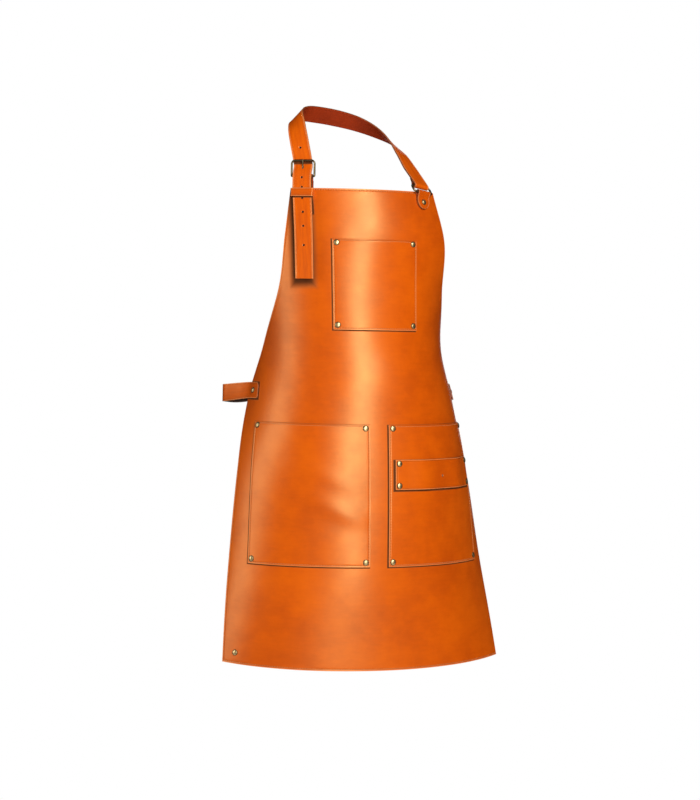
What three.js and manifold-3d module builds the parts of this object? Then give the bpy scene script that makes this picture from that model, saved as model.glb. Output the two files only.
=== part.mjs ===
// Leather work apron in its worn form: a bib panel bent round the body, three patch pockets, a tool
// strip, a buckled neck strap, a strap ring on its tab, two side loops and the rivets that hold them.
// Millimetres, +Z up. The front faces -Y, and +X is the wearer's left. The origin is the point of the
// strap that rests on the back of the neck. Sizes are laid out from the middle of the bib's top edge,
// and the whole apron is then moved so that the neck rest lies at the origin.
import * as THREE from 'three';
import { mergeVertices } from 'three/addons/utils/BufferGeometryUtils.js';
import Module from 'manifold-3d';

const wasm = await Module();
wasm.setup();

// Driving sizes
const NECK_REST = new THREE.Vector3(0, 137, 123);
const GAP = 0.4;
const LEATHER = { panel: 2, pocket: 1.6, strip: 1.8, strap: 2.4, chape: 2, keeper: 1.2, tab: 2, loop: 2 };

// The panel's level sections from the bib's top edge to the hem. drop: below the bib's top edge.
// front: how far the centre line stands before the bib's top edge. halfWidth: along the leather.
// turn: degrees that the leather has turned TURN_REACH from the centre line, on the wearer's right and
// left. late: share of that turn that grows with the cube of the distance, so that the middle stays
// flatter than the sides. The left half hangs a little more open towards the hem.
const TURN_REACH = 300;
const PANEL_SECTIONS = [
  { drop: 0, front: 0, halfWidth: 135, rightTurn: 76, rightLate: -0.15, leftTurn: 76, leftLate: -0.15 },
  { drop: 80, front: 23, halfWidth: 153, rightTurn: 87, rightLate: -0.1, leftTurn: 84, leftLate: 0.1 },
  { drop: 170, front: 35, halfWidth: 172, rightTurn: 100, rightLate: -0.05, leftTurn: 99.5, leftLate: 0 },
  { drop: 260, front: 47, halfWidth: 217, rightTurn: 106, rightLate: 0, leftTurn: 108, leftLate: 0 },
  { drop: 350, front: 69, halfWidth: 261, rightTurn: 97, rightLate: 0.05, leftTurn: 101, leftLate: 0.07 },
  { drop: 480, front: 85, halfWidth: 263, rightTurn: 81, rightLate: 0.12, leftTurn: 86.5, leftLate: 0.12 },
  { drop: 640, front: 91, halfWidth: 271, rightTurn: 74, rightLate: 0.2, leftTurn: 68.8, leftLate: 0.07 },
  { drop: 790, front: 91, halfWidth: 267, rightTurn: 63, rightLate: 0.28, leftTurn: 49, leftLate: 0.05 },
];
const HEM_DROP = 790;
const HEM_CORNER_RISE = 6;
const PANEL_GRID = { columns: 22, rows: 22 };
const WRAP_STEPS = 24;

// Patch pockets, open at the top. left: the edge towards the wearer's right, along the leather.
// swell: how far the middle of the mouth stands off the panel.
const HIP_POCKET = { top: 388, height: 232, swell: 8, columns: 16, rows: 8 };
const POCKETS = [
  { name: 'bib_pocket', left: -69.5, width: 149.5, top: 84, height: 150, swell: 7, columns: 12, rows: 6 },
  { name: 'right_hip_pocket', left: -225, width: 209, ...HIP_POCKET },
  { name: 'left_hip_pocket', left: 15.5, width: 212, ...HIP_POCKET },
];
const POCKET_RIVET_INSET = { side: 7.5, top: 6.2, bottom: 8 };
// A soft diagonal dent in the right hip pocket, between two points along the leather
const DENT_POCKET = 'right_hip_pocket';
const DENT = { from: [-135, 472], to: [-12, 528], spread: 20, depth: 2.2 };

// The tool strip on the left hip pocket: two low loops between flat ends and a sewn middle
const STRIP = { left: 26, width: 190, top: 445, height: 49, end: 18, tack: 10, arch: 2.6, archPower: 2 };
const STRIP_GRID = { columns: 22, rows: 2 };
const STRIP_RIVET_INSET = { side: 6.8, edge: 6.5 };

// Rivets: a low domed cap in front, a post and a flat cap behind. shoulder: the share of the cap's
// radius, and of its dome, where the dome turns down.
const RIVET = { cap: 5, dome: 2.3, post: 1.6, back: 4, backHeight: 0.9, backGap: 0.9, sides: 8 };
const RIVET_SHOULDER = { radius: 0.62, height: 0.72 };
const RIVET_HOLE = { radius: 2.2, sides: 6, reach: 30 };
const HEM_RIVET = { u: -242, drop: 767 };

// The neck strap. Its tail hangs down the bib, given along the leather; lift is its middle's distance
// from the bib's face. Above the bib's top edge drop is negative.
const STRAP_WIDTH = 32;
const TAIL_STATIONS = [
  { u: -113.5, drop: 151, lift: 10.2 },
  { u: -113.5, drop: 118, lift: 10.8 },
  { u: -113.5, drop: 86, lift: 10.6 },
  { u: -113.5, drop: 55, lift: 9.4 },
  { u: -113.5, drop: 28, lift: 7.6 },
  { u: -113.5, drop: 8, lift: 6.2 },
  { u: -113.5, drop: -8, lift: 6.2 },
  { u: -113.5, drop: -19, lift: 6.2 },
  { u: -113.5, drop: -27, lift: 4 },
  { u: -113.5, drop: -36, lift: -0.5 },
];
// The loop round the neck: the middle of the strap, and the way from its outer to its neck-side edge
// as a heading in plan and a rise, in degrees.
const LOOP_STATIONS = [
  { x: -107, y: 37, z: 46, heading: -28, rise: 3 },
  { x: -110, y: 49, z: 77, heading: -29, rise: 11 },
  { x: -110, y: 68, z: 105, heading: -36, rise: 24 },
  { x: -104, y: 91.5, z: 124, heading: -50, rise: 39 },
  { x: -84, y: 114, z: 131, heading: -58, rise: 48 },
  { x: -53, y: 132, z: 131.5, heading: -65, rise: 50 },
  { x: -19, y: 140, z: 128, heading: -76, rise: 49 },
  { x: 15, y: 136, z: 120, heading: -90, rise: 43 },
  { x: 43, y: 121.5, z: 107, heading: -108, rise: 33 },
  { x: 64, y: 100.5, z: 90, heading: -127, rise: 20 },
  { x: 77.5, y: 78, z: 67, heading: -144, rise: 9 },
  { x: 88, y: 55.5, z: 40, heading: -154, rise: 6 },
];
const STRAP_STEP = 13;
// Holes of the strap lie on its right side, before the place where it passes the shoulder
const STRAP_HOLE = { radius: 1.8, sides: 6, shoulder: 60 };
const STRAP_HOLE_HEIGHTS = [67, 17, 0.6, -17.7, -41, -64.3, -96];

// The buckle: a rounded wire frame whose lower bar sits in the fold of the buckle strap, and a prong
const BUCKLE = { u: -113.5, lift: 0.2, barHeight: 19, topHeight: 45.5 };
const BUCKLE_FRAME = { width: 43, corner: 6, foot: 2, wire: 1.7 };
const WIRE = { sides: 6, cornerSteps: 3 };
const FOLD_STEPS = 6;
const PRONG = { radius: 1.1, eyeFrom: -200, eyeTo: 45, eyeSteps: 5, steps: 16 };
const PRONG_RISE = [
  { height: 29, lift: 1.6 },
  { height: 37.5, lift: 2 },
  { height: 43.5, lift: 3.4 },
  { height: 48, lift: 3.2 },
];
// The buckle strap: folded round the lower bar, one leg in front of the bib and one behind it
const CHAPE = { width: 34, neck: 33, neckLength: 7, shoulder: 1, backEnd: 40, backEase: 0.4 };
const CHAPE_SEAT_DROPS = [44, 34, 25];
const CHAPE_RISE_DROP = 17;
const CHAPE_SLOT = { width: 7, length: 13, below: 5, depth: 15 };
const CHAPE_RIVET_DROP = 32;
const KEEPER = { drop: 8, height: 14, side: 1.2, play: 2, corner: 2, innerCorner: 0.6, cornerSteps: 3 };

// The strap ring and its tab on the bib's other corner
const RING = { u: 101.8, drop: 1.6, lift: 5 };
const RING_FRAME = { width: 46, height: 14, corner: 4.5, foot: 4.5, wire: 1.7 };
const RING_TURN = { heading: 27, fall: 7, lean: 38 };
const TAB = { width: 27, end: 29, rivetDrop: 17.5, flat: 11 };
const TAB_TIP_STEPS = [0.3, 1.2, 3, 6, 10];
const STRAP_FOLD_BACK = [
  { along: 6, apart: 4.7, width: 30 },
  { along: 11, apart: 3.5, width: 28 },
  { along: 18, apart: 3, width: 26 },
];

// The side loops: a band folded back on itself, riveted through the panel's edge. along: past the
// edge in the direction of the panel; out: away from the panel's outer face; sink: how far it droops.
// lean: how much less a loop stands out at its fold, for each millimetre past the edge.
const SIDE_LOOP = { drop: 338, width: 29, rivet: 18, step: 10 };
const SIDES = [{ name: 'right', side: -1, lean: 0 }, { name: 'left', side: 1, lean: 0.2 }];
const LOOP_PATH = [
  { along: -33, out: 1.8, sink: 0 },
  { along: -18, out: 1.8, sink: 0 },
  { along: -3, out: 2.3, sink: 0.6 },
  { along: 12, out: 7, sink: 2 },
  { along: 30, out: 14, sink: 4 },
  { along: 48, out: 20.5, sink: 6 },
  { along: 60, out: 24.4, sink: 7.2 },
  { along: 65, out: 23.6, sink: 7.8 },
  { along: 66.5, out: 19.6, sink: 8.2 },
  { along: 62.5, out: 16.4, sink: 8.6 },
  { along: 48, out: 10.5, sink: 9 },
  { along: 30, out: 3, sink: 8 },
  { along: 12, out: -3.2, sink: 6 },
  { along: -3, out: -4.4, sink: 4.4 },
  { along: -18, out: -4.4, sink: 4 },
  { along: -27, out: -4.4, sink: 4 },
];

// Finishes
const leather = new THREE.MeshStandardMaterial({ color: 0xc8661e, roughness: 0.45, metalness: 0 });
const strapLeather = new THREE.MeshStandardMaterial({ color: 0xcf6b20, roughness: 0.45, metalness: 0 });
const brass = new THREE.MeshStandardMaterial({ color: 0x7d6334, roughness: 0.38, metalness: 1 });

const UP = new THREE.Vector3(0, 0, 1);
const radians = THREE.MathUtils.degToRad;

const apron = new THREE.Group();
apron.position.copy(NECK_REST).negate();

function addPiece(name, geometry, material) {
  const mesh = new THREE.Mesh(geometry, material);
  mesh.name = name;
  apron.add(mesh);
}

// Smooth value of one column of a table, from a cubic through its rows
function columnAt(rows, key, column, at) {
  const last = rows.length - 1;
  const slope = (i) => {
    const before = rows[Math.max(i - 1, 0)];
    const after = rows[Math.min(i + 1, last)];
    return (after[column] - before[column]) / (after[key] - before[key]);
  };
  let i = 0;
  while (i < last - 1 && rows[i + 1][key] < at) i += 1;
  const span = rows[i + 1][key] - rows[i][key];
  const t = THREE.MathUtils.clamp((at - rows[i][key]) / span, 0, 1);
  const ease = t * t * (3 - 2 * t);
  const value = rows[i][column] + (rows[i + 1][column] - rows[i][column]) * ease;
  return value + span * t * (1 - t) * (slope(i) * (1 - t) - slope(i + 1) * t);
}

const panelAt = (column, drop) => columnAt(PANEL_SECTIONS, 'drop', column, drop);

// How far the leather has turned at a distance from the centre line
function turnAt(u, drop) {
  const half = u < 0 ? 'right' : 'left';
  const t = Math.abs(u) / TURN_REACH;
  const late = panelAt(`${half}Late`, drop);
  return radians(panelAt(`${half}Turn`, drop)) * ((1 - late) * t + late * t ** 3);
}

// The place of a point given along the leather: u across from the centre line, drop below the bib's
// top edge, lift off the panel's outer face
function wrap(u, drop, lift) {
  const step = u / WRAP_STEPS;
  let across = 0;
  let back = -panelAt('front', drop);
  for (let i = 0; i < WRAP_STEPS; i += 1) {
    const angle = turnAt((i + 0.5) * step, drop);
    across += Math.cos(angle) * step;
    back += Math.sin(angle) * Math.abs(step);
  }
  const angle = turnAt(u, drop);
  const x = across + Math.sign(u) * lift * Math.sin(angle);
  return new THREE.Vector3(x, back - lift * Math.cos(angle), -drop);
}

// The panel's directions at a point: along u, and straight out of its face
function directionsAt(u, drop) {
  const reach = 0.5;
  const along = wrap(u + reach, drop, 0).sub(wrap(u - reach, drop, 0)).normalize();
  const down = wrap(u, drop + reach, 0).sub(wrap(u, drop - reach, 0)).normalize();
  const out = down.clone().cross(along).normalize();
  return { along, down, out };
}

// How a band that lies on the panel bows back beside its middle line, for each square millimetre
function bowAt(u, drop) {
  const reach = 1;
  const bend = Math.abs(turnAt(u + reach, drop) - turnAt(u - reach, drop)) / (2 * reach);
  return directionsAt(u, drop).out.multiplyScalar(-bend / 2);
}

// A closed wall over a grid: place(i, j, side) is a corner on its front (side 1) or back (side 0)
function wall(columns, rows, place) {
  const positions = [];
  const index = [];
  const layer = (columns + 1) * (rows + 1);
  const at = (i, j, side) => side * layer + j * (columns + 1) + i;
  for (const side of [0, 1]) {
    for (let j = 0; j <= rows; j += 1) {
      for (let i = 0; i <= columns; i += 1) positions.push(...place(i, j, side).toArray());
    }
  }
  const quad = (a, b, c, d) => index.push(a, b, c, a, c, d);
  for (let j = 0; j < rows; j += 1) {
    for (let i = 0; i < columns; i += 1) {
      quad(at(i, j, 1), at(i, j + 1, 1), at(i + 1, j + 1, 1), at(i + 1, j, 1));
      quad(at(i, j, 0), at(i + 1, j, 0), at(i + 1, j + 1, 0), at(i, j + 1, 0));
    }
    quad(at(0, j, 0), at(0, j + 1, 0), at(0, j + 1, 1), at(0, j, 1));
    quad(at(columns, j, 1), at(columns, j + 1, 1), at(columns, j + 1, 0), at(columns, j, 0));
  }
  for (let i = 0; i < columns; i += 1) {
    quad(at(i, 0, 0), at(i, 0, 1), at(i + 1, 0, 1), at(i + 1, 0, 0));
    quad(at(i, rows, 1), at(i, rows, 0), at(i + 1, rows, 0), at(i + 1, rows, 1));
  }
  const geometry = new THREE.BufferGeometry();
  geometry.setAttribute('position', new THREE.Float32BufferAttribute(positions, 3));
  geometry.setIndex(index);
  return geometry;
}

function solidOf(geometry) {
  const bare = geometry.clone();
  bare.deleteAttribute('normal');
  bare.deleteAttribute('uv');
  const merged = mergeVertices(bare, 1e-4);
  const vertProperties = Float32Array.from(merged.attributes.position.array);
  const triVerts = Uint32Array.from(merged.index.array);
  return new wasm.Manifold(new wasm.Mesh({ numProp: 3, vertProperties, triVerts }));
}

function geometryOf(solid) {
  const mesh = solid.getMesh();
  const geometry = new THREE.BufferGeometry();
  geometry.setAttribute('position', new THREE.BufferAttribute(mesh.vertProperties, 3));
  geometry.setIndex(new THREE.BufferAttribute(mesh.triVerts, 1));
  return geometry;
}

function cut(geometry, tools) {
  const solid = tools.reduce((rest, tool) => rest.subtract(solidOf(tool)), solidOf(geometry));
  return geometryOf(solid);
}

// A matrix whose Y axis is the given way out, for turned pieces
function seat(place, along, out) {
  const side = along.clone().cross(out).normalize();
  const level = out.clone().cross(side).normalize();
  return new THREE.Matrix4().makeBasis(level, out, side).setPosition(place);
}

function seatOnPanel(u, drop) {
  const { along, out } = directionsAt(u, drop);
  return seat(wrap(u, drop, 0), along, out);
}

// Pockets

function pocketLift(pocket, u, drop) {
  const across = (2 * (u - pocket.left)) / pocket.width - 1;
  const down = (drop - pocket.top) / pocket.height;
  let lift = pocket.swell * (1 - across ** 2) ** 2 * (1 - down ** 2);
  if (pocket.name === DENT_POCKET) lift -= dentDepth(u, drop);
  return GAP + Math.max(lift, 0);
}

function dentDepth(u, drop) {
  const from = new THREE.Vector2(...DENT.from);
  const line = new THREE.Vector2(...DENT.to).sub(from);
  const offset = new THREE.Vector2(u, drop).sub(from);
  const share = offset.dot(line) / line.lengthSq();
  const aside = offset.cross(line) / line.length() / DENT.spread;
  const fade = Math.max(1 - (2 * share - 1) ** 2, 0);
  return DENT.depth * fade * Math.exp(-(aside ** 2));
}

function pocketWall(pocket) {
  return wall(pocket.columns, pocket.rows, (i, j, side) => {
    const u = pocket.left + (pocket.width * i) / pocket.columns;
    const drop = pocket.top + (pocket.height * j) / pocket.rows;
    return wrap(u, drop, pocketLift(pocket, u, drop) + side * LEATHER.pocket);
  });
}

function pocketRivets(pocket) {
  const inset = POCKET_RIVET_INSET;
  const sides = [pocket.left + inset.side, pocket.left + pocket.width - inset.side];
  const levels = [pocket.top + inset.top, pocket.top + pocket.height - inset.bottom];
  return levels.flatMap((drop) => sides.map((u) => ({ u, drop })));
}

// Tool strip

const stripPocket = POCKETS.find((pocket) => pocket.name === 'left_hip_pocket');

function stripLift(u, drop) {
  const half = STRIP.width / 2;
  const fromMiddle = Math.abs(u - STRIP.left - half);
  const loop = (fromMiddle - STRIP.tack / 2) / (half - STRIP.end - STRIP.tack / 2);
  const arch = STRIP.arch * Math.sin(Math.PI * THREE.MathUtils.clamp(loop, 0, 1)) ** STRIP.archPower;
  return pocketLift(stripPocket, u, drop) + LEATHER.pocket + GAP + arch;
}

function stripWall() {
  return wall(STRIP_GRID.columns, STRIP_GRID.rows, (i, j, side) => {
    const u = STRIP.left + (STRIP.width * i) / STRIP_GRID.columns;
    const drop = STRIP.top + (STRIP.height * j) / STRIP_GRID.rows;
    return wrap(u, drop, stripLift(u, drop) + side * LEATHER.strip);
  });
}

function stripRivets() {
  const inset = STRIP_RIVET_INSET;
  const sides = [STRIP.left + inset.side, STRIP.left + STRIP.width - inset.side];
  const levels = [STRIP.top + inset.edge, STRIP.top + STRIP.height - inset.edge];
  return levels.flatMap((drop) => sides.map((u) => ({ u, drop })));
}

// Rivets

function rivetGeometry({ u, drop, from, to }) {
  const top = to + GAP;
  const bottom = from - RIVET.backGap;
  const profile = [
    [0, top + RIVET.dome],
    [RIVET.cap * RIVET_SHOULDER.radius, top + RIVET.dome * RIVET_SHOULDER.height],
    [RIVET.cap, top],
    [RIVET.post, top],
    [RIVET.post, bottom],
    [RIVET.back, bottom],
    [0, bottom - RIVET.backHeight],
  ];
  const points = profile.map(([radius, height]) => new THREE.Vector2(radius, height)).reverse();
  return new THREE.LatheGeometry(points, RIVET.sides).applyMatrix4(seatOnPanel(u, drop));
}

function rivetHole({ u, drop }) {
  const { radius, sides, reach } = RIVET_HOLE;
  return new THREE.CylinderGeometry(radius, radius, reach, sides).applyMatrix4(seatOnPanel(u, drop));
}

// Bands: a strip of leather swept through stations, each with its middle, its width and the way across

function acrossOf(heading, rise) {
  const h = radians(heading);
  const r = radians(rise);
  return new THREE.Vector3(Math.cos(r) * Math.cos(h), Math.cos(r) * Math.sin(h), Math.sin(r));
}

function bandWall(stations, thickness, columns = 1) {
  const frames = stations.map((station, i) => {
    const before = stations[Math.max(i - 1, 0)].middle;
    const after = stations[Math.min(i + 1, stations.length - 1)].middle;
    const along = after.clone().sub(before).normalize();
    const out = along.cross(station.across).normalize();
    return { ...station, out };
  });
  return wall(columns, frames.length - 1, (i, j, side) => {
    const { middle, across, width, out, bow } = frames[j];
    const offset = width * (i / columns - 0.5);
    const place = middle.clone().addScaledVector(across, offset);
    if (bow) place.addScaledVector(bow, offset ** 2);
    return place.addScaledVector(out, thickness * (side - 0.5));
  });
}

// Stations along a smooth curve through the given ones, no further apart than step
function spreadStations(stations, step) {
  const curve = new THREE.CatmullRomCurve3(stations.map((station) => station.middle), false, 'centripetal');
  const last = stations.length - 1;
  const spread = [];
  for (let i = 0; i < last; i += 1) {
    const [from, to] = [stations[i], stations[i + 1]];
    const count = Math.max(2, Math.ceil(from.middle.distanceTo(to.middle) / step));
    for (let k = 0; k < count; k += 1) {
      const across = from.across.clone().lerp(to.across, k / count).normalize();
      spread.push({ middle: curve.getPoint((i + k / count) / last), across, width: from.width });
    }
  }
  return [...spread, stations[last]];
}

// Stations of a fold round a bar: from angle to angle about the bar's middle line
function foldStations(bar, radius, width, ways, from, to) {
  const stations = [];
  for (let k = 0; k <= FOLD_STEPS; k += 1) {
    const angle = radians(from + ((to - from) * k) / FOLD_STEPS);
    const middle = bar.clone();
    middle.addScaledVector(ways.out, radius * Math.cos(angle));
    middle.addScaledVector(ways.up, radius * Math.sin(angle));
    stations.push({ middle, across: ways.across, width });
  }
  return stations;
}

// Metal wire bent to a closed rounded rectangle in the plane of two directions
function wireFrame({ middle, across, up, width, height, corner, foot, wire }) {
  const x = width / 2 - wire;
  const y = height / 2;
  const outline = new THREE.Path();
  outline.moveTo(-x + foot, -y);
  outline.lineTo(x - foot, -y);
  outline.absarc(x - foot, -y + foot, foot, -Math.PI / 2, 0);
  outline.lineTo(x, y - corner);
  outline.absarc(x - corner, y - corner, corner, 0, Math.PI / 2);
  outline.lineTo(-x + corner, y);
  outline.absarc(-x + corner, y - corner, corner, Math.PI / 2, Math.PI);
  outline.lineTo(-x, -y + foot);
  outline.absarc(-x + foot, -y + foot, foot, Math.PI, 1.5 * Math.PI);
  const spine = outline.getPoints(WIRE.cornerSteps).map((p) => new THREE.Vector3(p.x, p.y, 0));
  return ringTube(spine, wire).applyMatrix4(
    new THREE.Matrix4().makeBasis(across, up, across.clone().cross(up)).setPosition(middle),
  );
}

// A round wire along a closed flat spine that lies in its local XY plane
function ringTube(spine, radius) {
  const { sides } = WIRE;
  const ring = spine.filter((p, i) => i === 0 || p.distanceTo(spine[i - 1]) > 0.05);
  if (ring[0].distanceTo(ring[ring.length - 1]) < 0.05) ring.pop();
  const positions = [];
  const index = [];
  const count = ring.length;
  ring.forEach((point, k) => {
    const along = ring[(k + 1) % count].clone().sub(ring[(k + count - 1) % count]).normalize();
    const aside = new THREE.Vector3(along.y, -along.x, 0);
    for (let s = 0; s < sides; s += 1) {
      const angle = (2 * Math.PI * (s + 0.5)) / sides;
      const place = point.clone().addScaledVector(aside, radius * Math.cos(angle));
      positions.push(place.x, place.y, radius * Math.sin(angle));
    }
  });
  for (let k = 0; k < count; k += 1) {
    for (let s = 0; s < sides; s += 1) {
      const a = k * sides + s;
      const b = k * sides + ((s + 1) % sides);
      const c = ((k + 1) % count) * sides + ((s + 1) % sides);
      const d = ((k + 1) % count) * sides + s;
      index.push(a, d, c, a, c, b);
    }
  }
  const geometry = new THREE.BufferGeometry();
  geometry.setAttribute('position', new THREE.Float32BufferAttribute(positions, 3));
  geometry.setIndex(index);
  return geometry;
}

// Places at the buckle

const buckleWays = (() => {
  const { along, out } = directionsAt(BUCKLE.u, 0);
  const level = out.clone().setZ(0).normalize();
  return { across: along, out: level, up: UP };
})();

function atBuckle(height, lift) {
  return wrap(BUCKLE.u, 0, lift).setZ(height);
}

// Places at the ring: its long side runs across, its short side leans back up along the strap

const ringWays = (() => {
  const across = acrossOf(RING_TURN.heading, -RING_TURN.fall);
  const back = across.clone().cross(UP).normalize().negate();
  const lean = radians(RING_TURN.lean);
  const rough = UP.clone().multiplyScalar(Math.cos(lean)).addScaledVector(back, Math.sin(lean));
  const up = rough.addScaledVector(across, -rough.dot(across)).normalize();
  return { across, up, out: across.clone().cross(up).normalize() };
})();
const tabWays = (() => {
  const out = ringWays.across.clone().cross(UP).normalize();
  return { across: ringWays.across, out, up: out.clone().cross(ringWays.across) };
})();
const ringLowerBar = wrap(RING.u, RING.drop, RING.lift);
const ringUpperBar = ringLowerBar.clone().addScaledVector(ringWays.up, RING_FRAME.height);

// Neck strap

function strapStations() {
  const tail = TAIL_STATIONS.map(({ u, drop, lift }) => {
    const onBib = drop >= 0;
    const middle = onBib ? wrap(u, drop, lift) : atBuckle(-drop, lift);
    const across = directionsAt(u, Math.max(drop, 0)).along;
    return { middle, across, width: STRAP_WIDTH };
  });
  const loop = LOOP_STATIONS.map(({ x, y, z, heading, rise }) => (
    { middle: new THREE.Vector3(x, y, z), across: acrossOf(heading, rise), width: STRAP_WIDTH }
  ));
  const radius = RING_FRAME.wire + GAP + LEATHER.strap / 2;
  const ways = { across: ringWays.across.clone().negate(), out: ringWays.out, up: ringWays.up };
  const fold = foldStations(ringUpperBar, radius, STRAP_WIDTH, ways, 0, -180);
  const run = spreadStations([...tail, ...loop, fold[0]], STRAP_STEP);
  const up = run[run.length - 2].middle.clone().sub(fold[0].middle).normalize();
  const inward = ringWays.out.clone().negate();
  const back = STRAP_FOLD_BACK.map(({ along, apart, width }) => {
    const middle = fold[0].middle.clone().addScaledVector(up, along).addScaledVector(inward, apart);
    return { middle, across: ways.across, width };
  });
  return [...run, ...fold.slice(1), ...back];
}

function strapHoles(stations) {
  const front = stations.filter(({ middle }) => middle.x < 0 && middle.y < STRAP_HOLE.shoulder);
  return STRAP_HOLE_HEIGHTS.map((height) => {
    const i = front.findIndex((station) => station.middle.z > height);
    const below = front[i - 1].middle;
    const above = front[i].middle;
    const share = (height - below.z) / (above.z - below.z);
    const place = below.clone().lerp(above, share);
    const along = above.clone().sub(below).normalize();
    const out = front[i].across.clone().cross(along).normalize();
    const { radius, sides } = STRAP_HOLE;
    const drill = new THREE.CylinderGeometry(radius, radius, 3 * LEATHER.strap, sides);
    return drill.applyMatrix4(seat(place, front[i].across, out));
  });
}

// Buckle strap, keeper and prong

function chapeStations() {
  const { across } = buckleWays;
  const station = (middle, width) => ({ middle, across, width });
  const frontLift = BUCKLE.lift + BUCKLE_FRAME.wire + GAP + LEATHER.chape / 2;
  const backLift = -LEATHER.panel - 1.5 * GAP - LEATHER.chape / 2;
  const seated = GAP + LEATHER.chape / 2;
  const bar = atBuckle(BUCKLE.barHeight, BUCKLE.lift);
  const radius = BUCKLE_FRAME.wire + GAP + LEATHER.chape / 2;
  const shoulder = BUCKLE.barHeight - CHAPE.neckLength;
  const leg = (drop, lift) => {
    const { along } = directionsAt(BUCKLE.u, drop);
    const middle = wrap(BUCKLE.u, drop, lift);
    return { middle, across: along, width: CHAPE.width, bow: bowAt(BUCKLE.u, drop) };
  };
  return [
    ...CHAPE_SEAT_DROPS.map((drop) => leg(drop, seated)),
    station(wrap(BUCKLE.u, CHAPE_RISE_DROP, frontLift), CHAPE.width),
    station(atBuckle(0, frontLift), CHAPE.width),
    station(atBuckle(shoulder - CHAPE.shoulder, frontLift), CHAPE.width),
    station(atBuckle(shoulder, frontLift), CHAPE.neck),
    ...foldStations(bar, radius, CHAPE.neck, buckleWays, 0, 180),
    station(atBuckle(shoulder, backLift - CHAPE.backEase), CHAPE.neck),
    station(atBuckle(shoulder - CHAPE.shoulder, backLift - CHAPE.backEase), CHAPE.width),
    leg(0, backLift),
    leg(CHAPE.backEnd / 2, backLift),
    leg(CHAPE.backEnd, backLift),
  ];
}

function chapeSlot() {
  const { width, length, below, depth } = CHAPE_SLOT;
  const slot = new THREE.BoxGeometry(width, depth, length);
  const place = atBuckle(BUCKLE.barHeight + length / 2 - below, BUCKLE.lift);
  return slot.applyMatrix4(seat(place, buckleWays.across, buckleWays.out));
}

// The keeper is a flat sleeve round the buckle strap's front leg and the tail
function keeperGeometry() {
  const { along, out } = directionsAt(BUCKLE.u, KEEPER.drop);
  const inner = CHAPE.width / 2 + KEEPER.side;
  const back = GAP + LEATHER.keeper;
  const front = BUCKLE.lift + BUCKLE_FRAME.wire + LEATHER.chape + LEATHER.strap + KEEPER.play;
  const wallSize = LEATHER.keeper;
  const outline = sleeveOutline(inner + wallSize, back - wallSize, front + wallSize, KEEPER.corner);
  outline.holes.push(sleeveOutline(inner, back, front, KEEPER.innerCorner));
  const { height: depth, cornerSteps: curveSegments } = KEEPER;
  const sleeve = new THREE.ExtrudeGeometry(outline, { depth, bevelEnabled: false, curveSegments });
  sleeve.translate(0, 0, -KEEPER.height / 2);
  const basis = new THREE.Matrix4().makeBasis(along, out, along.clone().cross(out));
  return sleeve.applyMatrix4(basis.setPosition(wrap(BUCKLE.u, KEEPER.drop, 0)));
}

function sleeveOutline(half, low, high, corner) {
  const outline = new THREE.Shape();
  outline.moveTo(-half + corner, low);
  outline.lineTo(half - corner, low);
  outline.absarc(half - corner, low + corner, corner, -Math.PI / 2, 0);
  outline.lineTo(half, high - corner);
  outline.absarc(half - corner, high - corner, corner, 0, Math.PI / 2);
  outline.lineTo(-half + corner, high);
  outline.absarc(-half + corner, high - corner, corner, Math.PI / 2, Math.PI);
  outline.lineTo(-half, low + corner);
  outline.absarc(-half + corner, low + corner, corner, Math.PI, 1.5 * Math.PI);
  return outline;
}

// The prong: an eye round the lower bar, and a rod that rises through the strap's hole over the top bar
function prongGeometry(radius) {
  const eye = BUCKLE_FRAME.wire + GAP + PRONG.radius;
  const route = [];
  for (let k = 0; k <= PRONG.eyeSteps; k += 1) {
    const angle = radians(PRONG.eyeFrom + ((PRONG.eyeTo - PRONG.eyeFrom) * k) / PRONG.eyeSteps);
    route.push(atBuckle(BUCKLE.barHeight + eye * Math.sin(angle), BUCKLE.lift + eye * Math.cos(angle)));
  }
  route.push(...PRONG_RISE.map(({ height, lift }) => atBuckle(height, lift)));
  const curve = new THREE.CatmullRomCurve3(route, false, 'centripetal');
  const section = new THREE.Shape();
  section.absarc(0, 0, radius, 0, 2 * Math.PI);
  const sweep = { steps: PRONG.steps, extrudePath: curve, curveSegments: WIRE.cornerSteps };
  return new THREE.ExtrudeGeometry(section, sweep);
}

// Ring tab: folded round the ring's lower bar, both legs on the bib's front, with a round end
function tabStations() {
  const radius = RING_FRAME.wire + GAP + LEATHER.tab / 2;
  const onBib = directionsAt(RING.u, TAB.rivetDrop).along;
  const leg = (drop, lift, width) => ({ middle: wrap(RING.u, drop, lift), across: onBib, width });
  const backLift = GAP + LEATHER.tab / 2;
  const frontLift = backLift + LEATHER.tab + GAP;
  const roundEnd = TAB.end - TAB.width / 2;
  const tipWidth = (drop) => 2 * Math.sqrt((TAB.width / 2) ** 2 - (drop - roundEnd) ** 2);
  const tipDrops = [...TAB_TIP_STEPS.map((step) => TAB.end - step), roundEnd];
  const front = tipDrops.map((drop) => leg(drop, frontLift, tipWidth(drop)));
  front.push(leg(TAB.flat, frontLift, TAB.width));
  const back = [...tipDrops].reverse().map((drop) => leg(drop, backLift, tipWidth(drop)));
  back.unshift(leg(TAB.flat, backLift, TAB.width));
  const fold = foldStations(ringLowerBar, radius, TAB.width, tabWays, 0, 180);
  return [...front, ...fold, ...back];
}

// Side loops

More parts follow.
